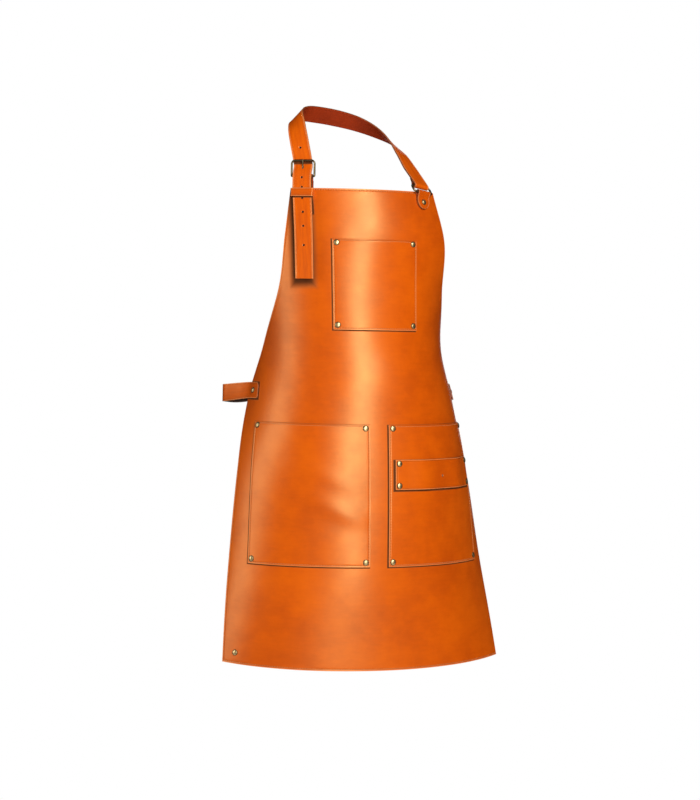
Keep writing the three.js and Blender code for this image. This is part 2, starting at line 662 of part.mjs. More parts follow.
// The band's edges follow the panel at its root and stand upright at its fold
function loopStations(side, lean) {
  const reach = Math.max(...LOOP_PATH.map((row) => row.along));
  const edge = panelAt('halfWidth', SIDE_LOOP.drop);
  const { along, out } = directionsAt(side * edge, SIDE_LOOP.drop);
  const past = along.clone().setZ(0).normalize().multiplyScalar(side);
  const off = out.clone().setZ(0).normalize();
  const stations = LOOP_PATH.map((row) => {
    const level = SIDE_LOOP.drop + row.sink;
    const u = side * (edge + Math.min(row.along, 0));
    const clear = Math.max(row.along, 0);
    const share = clear / reach;
    const across = directionsAt(u, level).down.negate().lerp(UP, share).normalize().multiplyScalar(side);
    const away = row.out - lean * clear * share ** 2;
    const middle = clear > 0
      ? wrap(u, level, 0).addScaledVector(past, clear).addScaledVector(off, away)
      : wrap(u, level, away);
    return { middle, across, width: SIDE_LOOP.width };
  });
  return spreadStations(stations, SIDE_LOOP.step);
}

// Assembly

const panelHoles = [];
const rivets = [];

function addRivet(name, spot, from, to) {
  rivets.push({ name, ...spot, from, to });
  return rivetHole(spot);
}

for (const pocket of POCKETS) {
  const holes = pocketRivets(pocket).map((spot, k) => {
    const to = pocketLift(pocket, spot.u, spot.drop) + LEATHER.pocket;
    return addRivet(`${pocket.name}_rivet_${k + 1}`, spot, -LEATHER.panel, to);
  });
  panelHoles.push(...holes);
  pocket.holes = holes;
}

const stripHoles = stripRivets().map((spot, k) => {
  const to = stripLift(spot.u, spot.drop) + LEATHER.strip;
  return addRivet(`tool_strip_rivet_${k + 1}`, spot, -LEATHER.panel, to);
});
stripPocket.holes.push(...stripHoles);
panelHoles.push(...stripHoles);

const chapeHole = addRivet(
  'buckle_strap_rivet',
  { u: BUCKLE.u, drop: CHAPE_RIVET_DROP },
  -LEATHER.panel - GAP - LEATHER.chape,
  GAP + LEATHER.chape,
);
const tabHole = addRivet(
  'ring_tab_rivet',
  { u: RING.u, drop: TAB.rivetDrop },
  -LEATHER.panel,
  2 * (GAP + LEATHER.tab),
);
panelHoles.push(chapeHole, tabHole);

for (const { name, side, lean } of SIDES) {
  const edge = panelAt('halfWidth', SIDE_LOOP.drop);
  const spot = { u: side * (edge - SIDE_LOOP.rivet), drop: SIDE_LOOP.drop };
  const front = LOOP_PATH[1].out + LEATHER.loop / 2;
  const back = LOOP_PATH[LOOP_PATH.length - 2].out - LEATHER.loop / 2;
  const hole = addRivet(`${name}_side_loop_rivet`, spot, back, front);
  panelHoles.push(hole);
  addPiece(`${name}_side_loop`, cut(bandWall(loopStations(side, lean), LEATHER.loop), [hole]), strapLeather);
}
panelHoles.push(addRivet('right_hem_rivet', HEM_RIVET, -LEATHER.panel, 0));

const panel = wall(PANEL_GRID.columns, PANEL_GRID.rows, (i, j, side) => {
  const share = j / PANEL_GRID.rows;
  const across = (2 * i) / PANEL_GRID.columns - 1;
  const level = HEM_DROP * share;
  const drop = level - HEM_CORNER_RISE * share * across ** 2;
  return wrap(across * panelAt('halfWidth', level), drop, (side - 1) * LEATHER.panel);
});
addPiece('apron_panel', cut(panel, panelHoles), leather);

for (const pocket of POCKETS) addPiece(pocket.name, cut(pocketWall(pocket), pocket.holes), leather);
addPiece('tool_strip', cut(stripWall(), stripHoles), leather);

const strap = strapStations();
const strapCuts = [...strapHoles(strap), prongGeometry(PRONG.radius + GAP)];
addPiece('neck_strap', cut(bandWall(strap, LEATHER.strap), strapCuts), strapLeather);
const chape = bandWall(chapeStations(), LEATHER.chape, 2);
addPiece('buckle_strap', cut(chape, [chapeHole, chapeSlot()]), strapLeather);
addPiece('strap_keeper', keeperGeometry(), strapLeather);
addPiece('ring_tab', cut(bandWall(tabStations(), LEATHER.tab, 2), [tabHole]), strapLeather);

const buckleMiddle = atBuckle((BUCKLE.barHeight + BUCKLE.topHeight) / 2, BUCKLE.lift);
const buckleHeight = BUCKLE.topHeight - BUCKLE.barHeight;
const buckle = wireFrame({ ...BUCKLE_FRAME, ...buckleWays, middle: buckleMiddle, height: buckleHeight });
addPiece('buckle_frame', buckle, brass);
addPiece('buckle_prong', prongGeometry(PRONG.radius), brass);
const ringMiddle = ringLowerBar.clone().lerp(ringUpperBar, 0.5);
addPiece('strap_ring', wireFrame({ ...RING_FRAME, ...ringWays, middle: ringMiddle }), brass);

for (const rivet of rivets) addPiece(rivet.name, rivetGeometry(rivet), brass);

export default apron;
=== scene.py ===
"""Leather work apron in its worn form: finished leather pieces, stitching and brass, on a plain stage."""
import math
from functools import partial

import bmesh
import bpy
import numpy as np
from bpy.props import FloatProperty, FloatVectorProperty, PointerProperty
from mathutils import Matrix, Quaternion, Vector


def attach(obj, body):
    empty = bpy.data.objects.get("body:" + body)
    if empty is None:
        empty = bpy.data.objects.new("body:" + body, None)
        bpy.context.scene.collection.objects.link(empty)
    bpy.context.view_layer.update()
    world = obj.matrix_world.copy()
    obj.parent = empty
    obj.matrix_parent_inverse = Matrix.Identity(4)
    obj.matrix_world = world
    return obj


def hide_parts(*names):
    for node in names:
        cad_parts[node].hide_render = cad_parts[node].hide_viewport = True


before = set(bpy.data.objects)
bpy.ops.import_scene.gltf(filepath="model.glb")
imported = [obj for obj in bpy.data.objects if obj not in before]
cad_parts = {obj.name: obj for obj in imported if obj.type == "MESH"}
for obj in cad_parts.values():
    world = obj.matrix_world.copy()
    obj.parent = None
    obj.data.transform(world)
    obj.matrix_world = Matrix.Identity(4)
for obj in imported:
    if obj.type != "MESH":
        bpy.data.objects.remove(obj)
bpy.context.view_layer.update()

bl_info = {
    "name": "Leather work apron",
    "version": (1, 0, 0),
    "blender": (4, 5, 0),
    "location": "View3D > Sidebar > Apron",
    "description": "Builds a worn leather apron with its pockets, straps, stitching and rivets",
    "category": "Object",
}

MM = 0.001
NECK_REST = np.array((0.0, 137.0, 123.0))
UP = np.array((0.0, 0.0, 1.0))
TINY = 1e-6


def table(columns, *rows):
    """A short table as one array for each named column."""
    return dict(zip(columns, np.array(rows, float).T))


# The panel's level sections, from the bib's top edge down to the hem
TURN_REACH = 300
WRAP_STEPS = 24
SECTIONS = table(
    ("drop", "front", "half_width", "right_turn", "right_late", "left_turn", "left_late"),
    (0, 0, 135, 76, -0.15, 76, -0.15),
    (80, 23, 153, 87, -0.1, 84, 0.1),
    (170, 35, 172, 100, -0.05, 99.5, 0),
    (260, 47, 217, 106, 0, 108, 0),
    (350, 69, 261, 97, 0.05, 101, 0.07),
    (480, 85, 263, 81, 0.12, 86.5, 0.12),
    (640, 91, 271, 74, 0.2, 68.8, 0.07),
    (790, 91, 267, 63, 0.28, 49, 0.05),
)
HEM_DROP = 790
HEM_CORNER_RISE = 6
HEM_RUNS = 14
AREA_STEPS = 200

# The hanging leather's slow unevenness: its height, the fine wave's share, and where it starts and fades
RIPPLE = {"height": 0.45, "fine": 0.6, "starts": (60, 170), "fades": (150, 215)}

# Leather thicknesses and the air between layers that lie on each other
THICK = {
    "panel": 2, "pocket": 1.6, "strip": 1.8, "strap": 2.4,
    "chape": 2, "keeper": 1.2, "tab": 2, "loop": 2,
}
CAD_GAP = 0.4
LAY = 0.15

# The softly rounded edges of cut leather, at most a share of the thickness
EDGE_ROUND = 0.5
EDGE_MOST = 0.45
EDGE_SEGMENTS = 2
EDGE_ANGLE = math.radians(50)

POCKETS = {
    "bib_pocket": {"left": -69.5, "width": 149.5, "top": 84, "height": 150, "swell": 4},
    "right_hip_pocket": {"left": -225, "width": 209, "top": 388, "height": 232, "swell": 4},
    "left_hip_pocket": {"left": 15.5, "width": 212, "top": 388, "height": 232, "swell": 4},
}
# Added to the edge distance along a pocket's mouth: narrows the band of wear and painted highlight there and
# draws the painted seam shade nearer the mouth
MOUTH_EASE = 1.2
POCKET_RIVET_INSET = {"side": 7.5, "top": 6.2, "bottom": 8}
FOLDED_POCKET = "right_hip_pocket"
FOLDS = (
    {"from": (-160, 446), "to": (-18, 500), "spread": 15, "height": 1.1},
    {"from": (-125, 508), "to": (-14, 549), "spread": 16, "height": 2.3},
)

STRIP = {"left": 26, "width": 190, "top": 445, "height": 49, "end": 18, "tack": 10, "arch": 2.6, "power": 2}
STRIP_RIVET_INSET = {"side": 6.8, "top": 6.5, "bottom": 6.5}
TACK = {"height": 6, "below": 3.4, "threads": 2, "spread": 3, "sink": 0.1}
SLIT = {"width": 0.0011, "flat": 0.4, "sides": 12, "rings": 8}
STITCH = {"proud": 0.5, "flat": 0.85, "sides": 6, "rings": 5, "sink": 0.2}

HEM_RIVET = {"u": -242, "drop": 767}
RIVET = {"cap": 5, "dome": 2.3, "rim": 0.45, "post": 1.6, "back": 4, "back_height": 0.9, "spin": 28}
RIVET_DOME = {"reach": 0.93, "steps": 8}
RIVET_RIM = ((0.97, 1.05), (1, 0.7), (1, 0.3), (0.97, 0))
RIVET_CHAMFER = {"in": 0.4, "up": 0.3}

STRAP_WIDTH = 32
TAIL = table(
    ("drop", "lift"),
    (151, 10.2),
    (118, 10.8),
    (86, 10.6),
    (55, 9.4),
    (28, 7.6),
    (8, 6.2),
    (-8, 6.2),
    (-19, 6.2),
    (-27, 4),
    (-36, -0.5),
)
NECK_LOOP = table(
    ("x", "y", "z", "heading", "rise"),
    (-107, 37, 46, -28, 3),
    (-110, 49, 77, -29, 11),
    (-110, 68, 105, -36, 24),
    (-104, 91.5, 124, -50, 39),
    (-84, 114, 131, -58, 48),
    (-53, 132, 131.5, -65, 50),
    (-19, 140, 128, -76, 49),
    (15, 136, 120, -90, 43),
    (43, 121.5, 107, -108, 33),
    (64, 100.5, 90, -127, 20),
    (77.5, 78, 67, -144, 9),
    (88, 55.5, 40, -154, 6),
)
STRAP_HOLES = {"radius": 1.8, "sides": 20, "reach": 9, "deep": 1.8, "shoulder": 60}
STRAP_HOLE_HEIGHTS = (67, 17, 0.6, -17.7, -41, -64.3, -96)

# Meshes of the bands: the step along them, the pitch across, and the rounding of their corners
BAND_STEP = 3.5
SHORT_STEP = 2
LOOP_STEP = 2.5
AIM_STEP = 6.5
BAND_PITCH = 3
STRAP_ROUND = 0.7
BAND_ROUND = 0.6
CORNER_SHARE = 0.98
FOLD_STEPS = 14
WIRE_SIDES = 16
WIRE_TURN_STEPS = 8
WIRE_FLAT = (10, 100)
WIRE_EDGE = 3.0

BUCKLE = {
    "u": -113.5, "lift": 0.2, "bar": 19, "top": 45.5,
    "width": 43, "corner": 6, "foot": 2, "wire": 1.7,
}
PRONG = {"radius": 1.1, "eye_from": -200, "eye_to": 45, "eye_steps": 12, "step": 1.2, "sides": 12, "tip": 2}
PRONG_PLAY = 0.5
PRONG_RISE = ((29, 1.6), (37.5, 2), (43.5, 3.4), (48, 3.2))
CHAPE = {"width": 34, "neck": 33, "neck_length": 7, "shoulder": 1, "back_end": 40, "back_ease": 0.4}
CHAPE_SEAT_DROPS = (44, 34, 25)
CHAPE_RISE_DROP = 17
CHAPE_RIVET_DROP = 32
CHAPE_SLOT = {"width": 7, "length": 13, "below": 5, "depth": 15}
KEEPER = {"drop": 8, "height": 14, "side": 1.2, "play": 2, "corner": 2, "pitch": 2, "round": 0.4}

RING = {
    "u": 101.8, "drop": 1.6, "lift": 5, "width": 46,
    "height": 14, "corner": 4.5, "foot": 4.5, "wire": 1.7,
}
RING_TURN = {"heading": 27, "fall": 7, "lean": 38}
TAB = {"width": 27, "end": 29, "rivet_drop": 17.5, "flat": 11, "tip_steps": 14, "tip_from": 86}
STRAP_FOLD_BACK = ((6, 4.7, 30), (11, 3.5, 28), (18, 3, 26))

SIDE_LOOP = {"drop": 338, "width": 29, "rivet": 18, "end_corner": 5}
LOOP_PATH = table(
    ("along", "out", "sink"),
    (-33, 1.8, 0),
    (-18, 1.8, 0),
    (-3, 2.3, 0.6),
    (12, 7, 2),
    (30, 14, 4),
    (48, 20.5, 6),
    (60, 24.4, 7.2),
    (65, 23.6, 7.8),
    (66.5, 19.6, 8.2),
    (62.5, 16.4, 8.6),
    (48, 10.5, 9),
    (30, 3, 8),
    (12, -3.2, 6),
    (-3, -4.4, 4.4),
    (-18, -4.4, 4),
    (-27, -4.4, 4),
)
SIDES = {"right": {"side": -1, "lean": 0}, "left": {"side": 1, "lean": 0.2}}

# Grid lines beside a cut edge, close together where the groove of the seam or crease runs
SEAM_LINES = np.array((0, 0.7, 1.4, 2, 2.5, 2.8, 3.1, 3.7, 5))
SEAM = {"inset": 2.8, "depth": 0.3, "spread": 0.7}
CREASE_LINES = np.array((0, 0.7, 1.4, 1.9, 2.2, 2.5, 3.1, 4.2))
CREASE = {"inset": 2.2, "depth": 0.25, "spread": 0.45}
KEEPER_LINES = np.array((0, 0.7, 1.6, 2.2, 2.8))
KEEPER_CREASE = {"inset": 2.2, "depth": 0.2, "spread": 0.5}

# Lights: how far each is turned to the wearer's left of straight ahead, its rise, distance, size and lean
APRON_MIDDLE = Vector((0, -0.15, -0.45))
LIGHTS = {
    "key": {"turn": -2, "rise": 14, "reach": 2.5, "width": 0.8, "height": 2.3, "lean": 3},
    "left": {"turn": -92, "rise": 10, "reach": 2.1, "width": 0.9, "height": 1.8, "lean": 0},
    "top": {"turn": 17, "rise": 40, "reach": 2.3, "width": 0.3, "height": 0.3, "lean": 0},
    "back": {"turn": 163, "rise": 6, "reach": 2.6, "width": 1.6, "height": 2.0, "lean": 0},
}
FLOOR = {"sides": 96, "forward": -0.4}
PICTURE_HEIGHT = 36
CAMERA_SIGHT = 50


# Places on the worn apron, in millimetres from the middle of the bib's top edge

def column_at(columns, key, column, at):
    """Smooth value of one column of a table, from a cubic through its rows."""
    keys, values = columns[key], columns[column]
    last = len(keys) - 1
    before, after = np.maximum(np.arange(last + 1) - 1, 0), np.minimum(np.arange(last + 1) + 1, last)
    slopes = (values[after] - values[before]) / (keys[after] - keys[before])
    i = np.searchsorted(keys[1:-1], at, side="left")
    span = keys[i + 1] - keys[i]
    t = np.clip((at - keys[i]) / span, 0, 1)
    ease = t * t * (3 - 2 * t)
    bend = span * t * (1 - t) * (slopes[i] * (1 - t) - slopes[i + 1] * t)
    return values[i] + (values[i + 1] - values[i]) * ease + bend


def panel_at(column, drop):
    return column_at(SECTIONS, "drop", column, np.asarray(drop, float))


def turned(u, turn, late):
    t = np.abs(u) / TURN_REACH
    return np.radians(turn) * ((1 - late) * t + late * t ** 3)


def bend_at(u, drop):
    """The turn of the leather and its lateness, on the half of the panel where u lies."""
    columns = ((f"right_{key}", f"left_{key}") for key in ("turn", "late"))
    return [np.where(u < 0, panel_at(right, drop), panel_at(left, drop)) for right, left in columns]


def turn_at(u, drop):
    return turned(u, *bend_at(u, drop))


def wrap(u, drop, lift=0.0):
    """The place of a point given along the leather and its lift off the panel's outer face."""
    u, drop, lift = np.broadcast_arrays(*(np.asarray(v, float) for v in (u, drop, lift)))
    step = np.abs(u) / WRAP_STEPS
    turn, late = bend_at(u, drop)
    middles = (np.arange(WRAP_STEPS) + 0.5) * step[..., None]
    angles = turned(middles, turn[..., None], late[..., None])
    angle = turned(u, turn, late)
    x = np.sign(u) * (np.cos(angles).sum(-1) * step + lift * np.sin(angle))
    y = np.sin(angles).sum(-1) * step - panel_at("front", drop) - lift * np.cos(angle)
    return np.stack((x, y, -drop), -1)


def unit(vectors):
    vectors = np.asarray(vectors, float)
    return vectors / np.linalg.norm(vectors, axis=-1, keepdims=True)


def directions(u, drop, reach=0.5):
    """The panel's directions at a point: along u, down the leather, and straight out of its face."""
    u, drop = np.asarray(u, float), np.asarray(drop, float)
    along = unit(wrap(u + reach, drop) - wrap(u - reach, drop))
    down = unit(wrap(u, drop + reach) - wrap(u, drop - reach))
    return along, down, unit(np.cross(down, along))


def smoothstep(low, high, value):
    t = np.clip((value - low) / (high - low), 0, 1)
    return t * t * (3 - 2 * t)


def ripple(u, drop):
    """Slow unevenness of the hanging leather, calm at the bib's top and at the sides."""
    calm = smoothstep(*RIPPLE["starts"], drop) * (1 - smoothstep(*RIPPLE["fades"], np.abs(u)))
    broad = np.sin(u / 41 + drop / 97) * np.sin(drop / 73 + 1.3)
    fine = np.sin(u / 23 - drop / 61 + 0.7)
    return RIPPLE["height"] * calm * (broad + RIPPLE["fine"] * fine)


def skin(u, drop, lift=0.0):
    """A point on the hanging panel, its unevenness included."""
    return wrap(u, drop, lift + ripple(u, drop))


def groove(edge, inset, depth, spread):
    """The hollow that a seam or crease presses into the leather, by the distance from the cut edge."""
    return -depth * np.exp(-(((edge - inset) / spread) ** 2))


def graded(length, pitch, lines):
    """Shares of grid lines: close together at both edges and about pitch apart between."""
    inside = max(2, round((length - 2 * lines[-1]) / pitch))
    middle = np.linspace(lines[-1], length - lines[-1], inside + 1)
    return np.concatenate((lines[:-1], middle, length - lines[-2::-1])) / length


# Meshes

def to_row(points):
    return (np.asarray(points, float) - NECK_REST) * MM


def grid(across, down, place):
    """A grid with lines at the given shares. place gives points, flat places and edge distances."""
    bm = bmesh.new()
    flat_layer = bm.loops.layers.uv.new("flat")
    edge_layer = bm.verts.layers.float.new("edge")
    columns, lines = len(across) - 1, len(down) - 1
    bmesh.ops.create_grid(bm, x_segments=columns, y_segments=lines, size=0.5)
    corners = np.array([vert.co for vert in bm.verts])
    s = np.asarray(across)[np.rint((corners[:, 0] + 0.5) * columns).astype(int)]
    t = np.asarray(down)[np.rint((0.5 - corners[:, 1]) * lines).astype(int)]
    points, flat, edge = place(s, t)
    flat = flat * MM
    for vert, point, distance in zip(bm.verts, to_row(points), edge):
        vert.co = point
        vert[edge_layer] = distance
    bm.verts.index_update()
    for face in bm.faces:
        face.smooth = True
        for loop in face.loops:
            loop[flat_layer].uv = flat[loop.vert.index]
    return bm


def put(name, data):
    """A new object in the scene."""
    placed = bpy.data.objects.new(name, data)
    bpy.context.scene.collection.objects.link(placed)
    return placed


def put_mesh(name, bm, materials):
    """A new object made of a bmesh, which is freed."""
    mesh = bpy.data.meshes.new(name)
    bm.to_mesh(mesh)
    bm.free()
    for material in materials:
        mesh.materials.append(material)
    return put(name, mesh)


def keep(name, bm, materials, nodes=()):
    """Makes a finished piece of a bmesh, on the part's one body."""
    piece = put_mesh(name, bm, materials)
    piece.data.shade_smooth()
    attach(piece, "root")
    if nodes:
        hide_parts(*nodes)
    return piece


def give_thickness(piece, thickness, offset, round_edge=EDGE_ROUND):
    """Leather thickness with a raw back, a cut edge and softly rounded corners."""
    wall = piece.modifiers.new("thickness", "SOLIDIFY")
    wall.thickness = thickness * MM
    wall.offset = offset
    wall.use_even_offset = True
    wall.material_offset = 1
    wall.material_offset_rim = 2
    edge = piece.modifiers.new("rounded edge", "BEVEL")
    edge.width = min(round_edge, EDGE_MOST * thickness) * MM
    edge.segments = EDGE_SEGMENTS
    edge.limit_method = "ANGLE"
    edge.angle_limit = EDGE_ANGLE
    return piece


def bake_modifiers(piece):
    """Replaces a piece's mesh by the one that its modifiers make."""
    shaped = bpy.data.meshes.new_from_object(piece.evaluated_get(bpy.context.evaluated_depsgraph_get()))
    old = piece.data
    piece.modifiers.clear()
    shaped.name = old.name
    piece.data = shaped
    bpy.data.meshes.remove(old)


def cut_away(piece, bm, material):
    """Cuts the shape of a bmesh out of a piece; the cut's walls get the material."""
    cutter = put_mesh("cutter", bm, [material])
    mesh = cutter.data
    cut = piece.modifiers.new("cut", "BOOLEAN")
    cut.operation = "DIFFERENCE"
    cut.solver = "EXACT"
    cut.use_self = True
    cut.material_mode = "TRANSFER"
    cut.object = cutter
    bake_modifiers(piece)
    bpy.data.objects.remove(cutter)
    bpy.data.meshes.remove(mesh)


def frame_matrix(x_axis, y_axis, z_axis, place):
    """A matrix whose columns are the given directions, at a place in the row's frame."""
    matrix = Matrix.Identity(4)
    for column, axis in enumerate((x_axis, y_axis, z_axis)):
        matrix.col[column][:3] = axis
    matrix.translation = Vector(place)
    return matrix


def close_seams(bm):
    """Joins the points that meet and turns the faces outward."""
    bmesh.ops.remove_doubles(bm, verts=bm.verts[:], dist=TINY)
    bmesh.ops.recalc_face_normals(bm, faces=bm.faces[:])
    return bm


# Bands: straps that are swept through stations, each with its middle, its way across and its width

def centripetal(points, step):
    """Points on a smooth curve through the given ones, and where each lies between them."""
    points = np.asarray(points, float)
    ends = np.vstack((2 * points[0] - points[1], points, 2 * points[-1] - points[-2]))
    places, shares = [], []
    for i in range(len(points) - 1):
        p0, p1, p2, p3 = ends[i:i + 4]
        d0, d1, d2 = (max(np.linalg.norm(b - a), TINY) ** 0.5 for a, b in ((p0, p1), (p1, p2), (p2, p3)))
        leave = ((p1 - p0) / d0 - (p2 - p0) / (d0 + d1) + (p2 - p1) / d1) * d1
        arrive = ((p2 - p1) / d1 - (p3 - p1) / (d1 + d2) + (p3 - p2) / d2) * d1
        count = max(2, math.ceil(np.linalg.norm(p2 - p1) / step))
        for w in np.arange(count) / count:
            quadratic = -3 * p1 + 3 * p2 - 2 * leave - arrive
            places.append(p1 + leave * w + quadratic * w ** 2 + (2 * p1 - 2 * p2 + leave + arrive) * w ** 3)
            shares.append(i + w)
    return np.array(places + [points[-1]]), np.array(shares + [len(points) - 1.0])


def travel_along(points):
    """How far along a path each of its points lies."""
    return np.concatenate(((0,), np.cumsum(np.linalg.norm(np.diff(points, axis=0), axis=1))))


def station(middle, across, width, bow=(0, 0, 0)):
    return np.concatenate((middle, across, (width,), bow))


def band(stations, columns, step, end_corner=0.0):
    """A strip of leather through stations, with a crease along both edges."""
    stations = np.array(stations)
    middles, shares = centripetal(stations[:, :3], step)
    index = np.arange(len(stations))
    rest = np.stack([np.interp(shares, index, stations[:, k]) for k in range(3, 10)], -1)
    across, width, bow = unit(rest[:, :3]), rest[:, 3], rest[:, 4:]
    along = unit(np.gradient(middles, axis=0))
    out = unit(np.cross(across, along))
    travel = travel_along(middles)
    if end_corner:
        inside = np.clip(np.minimum(travel, travel[-1] - travel), 0, end_corner)
        rounding = end_corner - np.sqrt(end_corner ** 2 - (end_corner - inside) ** 2)
        width = width - 2 * rounding * CORNER_SHARE
    last = len(middles) - 1

    def place(s, t):
        k = np.rint((1 - t) * last).astype(int)
        aside = (s - 0.5) * width[k]
        edge = width[k] / 2 - np.abs(aside)
        relief = groove(edge, **CREASE)
        points = middles[k] + across[k] * aside[:, None] + bow[k] * (aside ** 2)[:, None]
        flat = np.stack((aside, travel[k]), -1)
        return points + out[k] * relief[:, None], flat, edge

    return grid(columns, np.linspace(0, 1, last + 1), place)


def fold_round(bar, radius, across, width, out, up, start, end):
    """Stations of a strip bent round a bar, from angle to angle."""
    angles = np.radians(np.linspace(start, end, FOLD_STEPS + 1))
    return [station(bar + radius * (out * math.cos(a) + up * math.sin(a)), across, width) for a in angles]


# Wire and rods, along a flat path

def tube(path, radii, normal, closed, sides=WIRE_SIDES):
    """A round rod along a path that lies in the plane of the normal."""
    path = np.asarray(path, float)
    radii = np.broadcast_to(radii, len(path))
    if closed:
        ways = np.roll(path, -1, 0) - np.roll(path, 1, 0)
        path, ways, radii = (np.concatenate((a, a[:1])) for a in (path, ways, radii))
    else:
        ways = np.gradient(path, axis=0)
    aside = unit(np.cross(unit(ways), normal))
    last = len(path) - 1

    def place(s, t):
        k = np.rint(t * last).astype(int)
        angle = 2 * np.pi * s
        reach = radii[k][:, None] * (aside[k] * np.cos(angle)[:, None] + normal * np.sin(angle)[:, None])
        return path[k] + reach, np.stack((s, t), -1) * WIRE_FLAT, np.full(len(s), WIRE_EDGE)

    return close_seams(grid(np.linspace(0, 1, sides + 1), np.linspace(0, 1, last + 1), place))


def rounded_frame(middle, across, up, size):
    """The middle line of a wire bent to a rounded rectangle."""
    x, y = size["width"] / 2 - size["wire"], size["height"] / 2
    corners = (
        (x - size["foot"], -y + size["foot"], size["foot"], -90),
        (x - size["corner"], y - size["corner"], size["corner"], 0),
        (-x + size["corner"], y - size["corner"], size["corner"], 90),
        (-x + size["foot"], -y + size["foot"], size["foot"], 180),
    )
    path = []
    for cx, cy, r, start in corners:
        for a in np.radians(start + 90 * np.arange(WIRE_TURN_STEPS + 1) / WIRE_TURN_STEPS):
            path.append(middle + across * (cx + r * math.cos(a)) + up * (cy + r * math.sin(a)))
    return np.array(path)


def heading_way(heading, rise):
    h, r = np.radians(heading), np.radians(rise)
    return np.stack((np.cos(r) * np.cos(h), np.cos(r) * np.sin(h), np.sin(r)), -1)


# Places at the buckle and at the ring

def at_buckle(height, lift):
    x, y, _ = wrap(BUCKLE["u"], 0, lift)
    return np.array((x, y, height))


BUCKLE_ACROSS = directions(BUCKLE["u"], 0)[0]
BUCKLE_OUT = unit(directions(BUCKLE["u"], 0)[2] * (1, 1, 0))
RING_ACROSS = heading_way(RING_TURN["heading"], -RING_TURN["fall"])
RING_BACK = -unit(np.cross(RING_ACROSS, UP))
RING_LEAN = math.radians(RING_TURN["lean"])
RING_RISE = UP * math.cos(RING_LEAN) + RING_BACK * math.sin(RING_LEAN)
RING_UP = unit(RING_RISE - RING_ACROSS * RING_RISE.dot(RING_ACROSS))
RING_OUT = unit(np.cross(RING_ACROSS, RING_UP))
TAB_UP = unit(np.cross(-RING_BACK, RING_ACROSS))
RING_LOWER = wrap(RING["u"], RING["drop"], RING["lift"])
RING_UPPER = RING_LOWER + RING_UP * RING["height"]


# Shapes of the leather pieces

def fold_height(u, drop, fold):
    """A soft fold between two points along the leather, highest halfway."""
    start, line = np.array(fold["from"], float), np.subtract(fold["to"], fold["from"]).astype(float)
    offset = np.stack((u, drop), -1) - start
    share = offset @ line / line.dot(line)
    aside = (offset[..., 0] * line[1] - offset[..., 1] * line[0]) / np.linalg.norm(line) / fold["spread"]
    return fold["height"] * np.maximum(1 - (2 * share - 1) ** 2, 0) * np.exp(-aside ** 2)


def pocket_lift(name, u, drop):
    """How far a pocket's inner face stands off the panel."""
    pocket = POCKETS[name]
    across = 2 * (u - pocket["left"]) / pocket["width"] - 1
    down = (drop - pocket["top"]) / pocket["height"]
    lift = LAY + pocket["swell"] * np.maximum(1 - across ** 2, 0) ** 2 * (1 - down) ** 3
    if name == FOLDED_POCKET:
        lift = lift + sum(fold_height(u, drop, fold) for fold in FOLDS)
    return lift


def strip_lift(u, drop):
    """How far the tool strip's inner face stands off the panel: two arches between flat ends."""
    half = STRIP["width"] / 2
    from_middle = np.abs(u - STRIP["left"] - half)
    loop = (from_middle - STRIP["tack"] / 2) / (half - STRIP["end"] - STRIP["tack"] / 2)
    arch = STRIP["arch"] * np.sin(np.pi * np.clip(loop, 0, 1)) ** STRIP["power"]
    return pocket_lift("left_hip_pocket", u, drop) + THICK["pocket"] + LAY + arch


def panel_place(s, t):
    across = 2 * s - 1
    level = HEM_DROP * t
    half = panel_at("half_width", level)
    drop = level - HEM_CORNER_RISE * t * across ** 2
    edge = np.minimum((1 - np.abs(across)) * half, np.minimum(level, HEM_DROP - level))
    lift = groove(edge, **SEAM)
    return skin(across * half, drop, lift), np.stack((across * half, drop), -1), edge


def patch_place(patch, lift_at, thickness, mouth_ease=0.0):
    """Places of a rectangular patch whose outer face stands thickness above its inner one."""

    def place(s, t):
        u = patch["left"] + patch["width"] * s
        drop = patch["top"] + patch["height"] * t
        edge = np.minimum(np.minimum(s, 1 - s) * patch["width"], np.minimum(t, 1 - t) * patch["height"])
        lift = lift_at(u, drop) + thickness + groove(edge, **SEAM)
        eased = np.where(t * patch["height"] <= edge, edge + mouth_ease, edge)
        return skin(u, drop, lift), np.stack((u, drop), -1), eased

    return place


def strap_stations():
    """The neck strap: from its tail round the neck and the ring's upper bar, and back behind itself."""
    stations = []
    for drop, lift in zip(TAIL["drop"], TAIL["lift"]):
        middle = wrap(BUCKLE["u"], drop, lift) if drop >= 0 else at_buckle(-drop, lift)
        stations.append(station(middle, directions(BUCKLE["u"], max(drop, 0))[0], STRAP_WIDTH))
    ways = heading_way(NECK_LOOP["heading"], NECK_LOOP["rise"])
    for x, y, z, way in zip(NECK_LOOP["x"], NECK_LOOP["y"], NECK_LOOP["z"], ways):
        stations.append(station((x, y, z), way, STRAP_WIDTH))
    radius = RING["wire"] + CAD_GAP + THICK["strap"] / 2
    turn = fold_round(RING_UPPER, radius, -RING_ACROSS, STRAP_WIDTH, RING_OUT, RING_UP, 0, -180)
    middles, _ = centripetal([s[:3] for s in stations] + [turn[0][:3]], AIM_STEP)
    up = unit(middles[-2] - turn[0][:3])
    back = [station(turn[0][:3] + up * along - RING_OUT * apart, -RING_ACROSS, width)
            for along, apart, width in STRAP_FOLD_BACK]
    return stations + turn + back


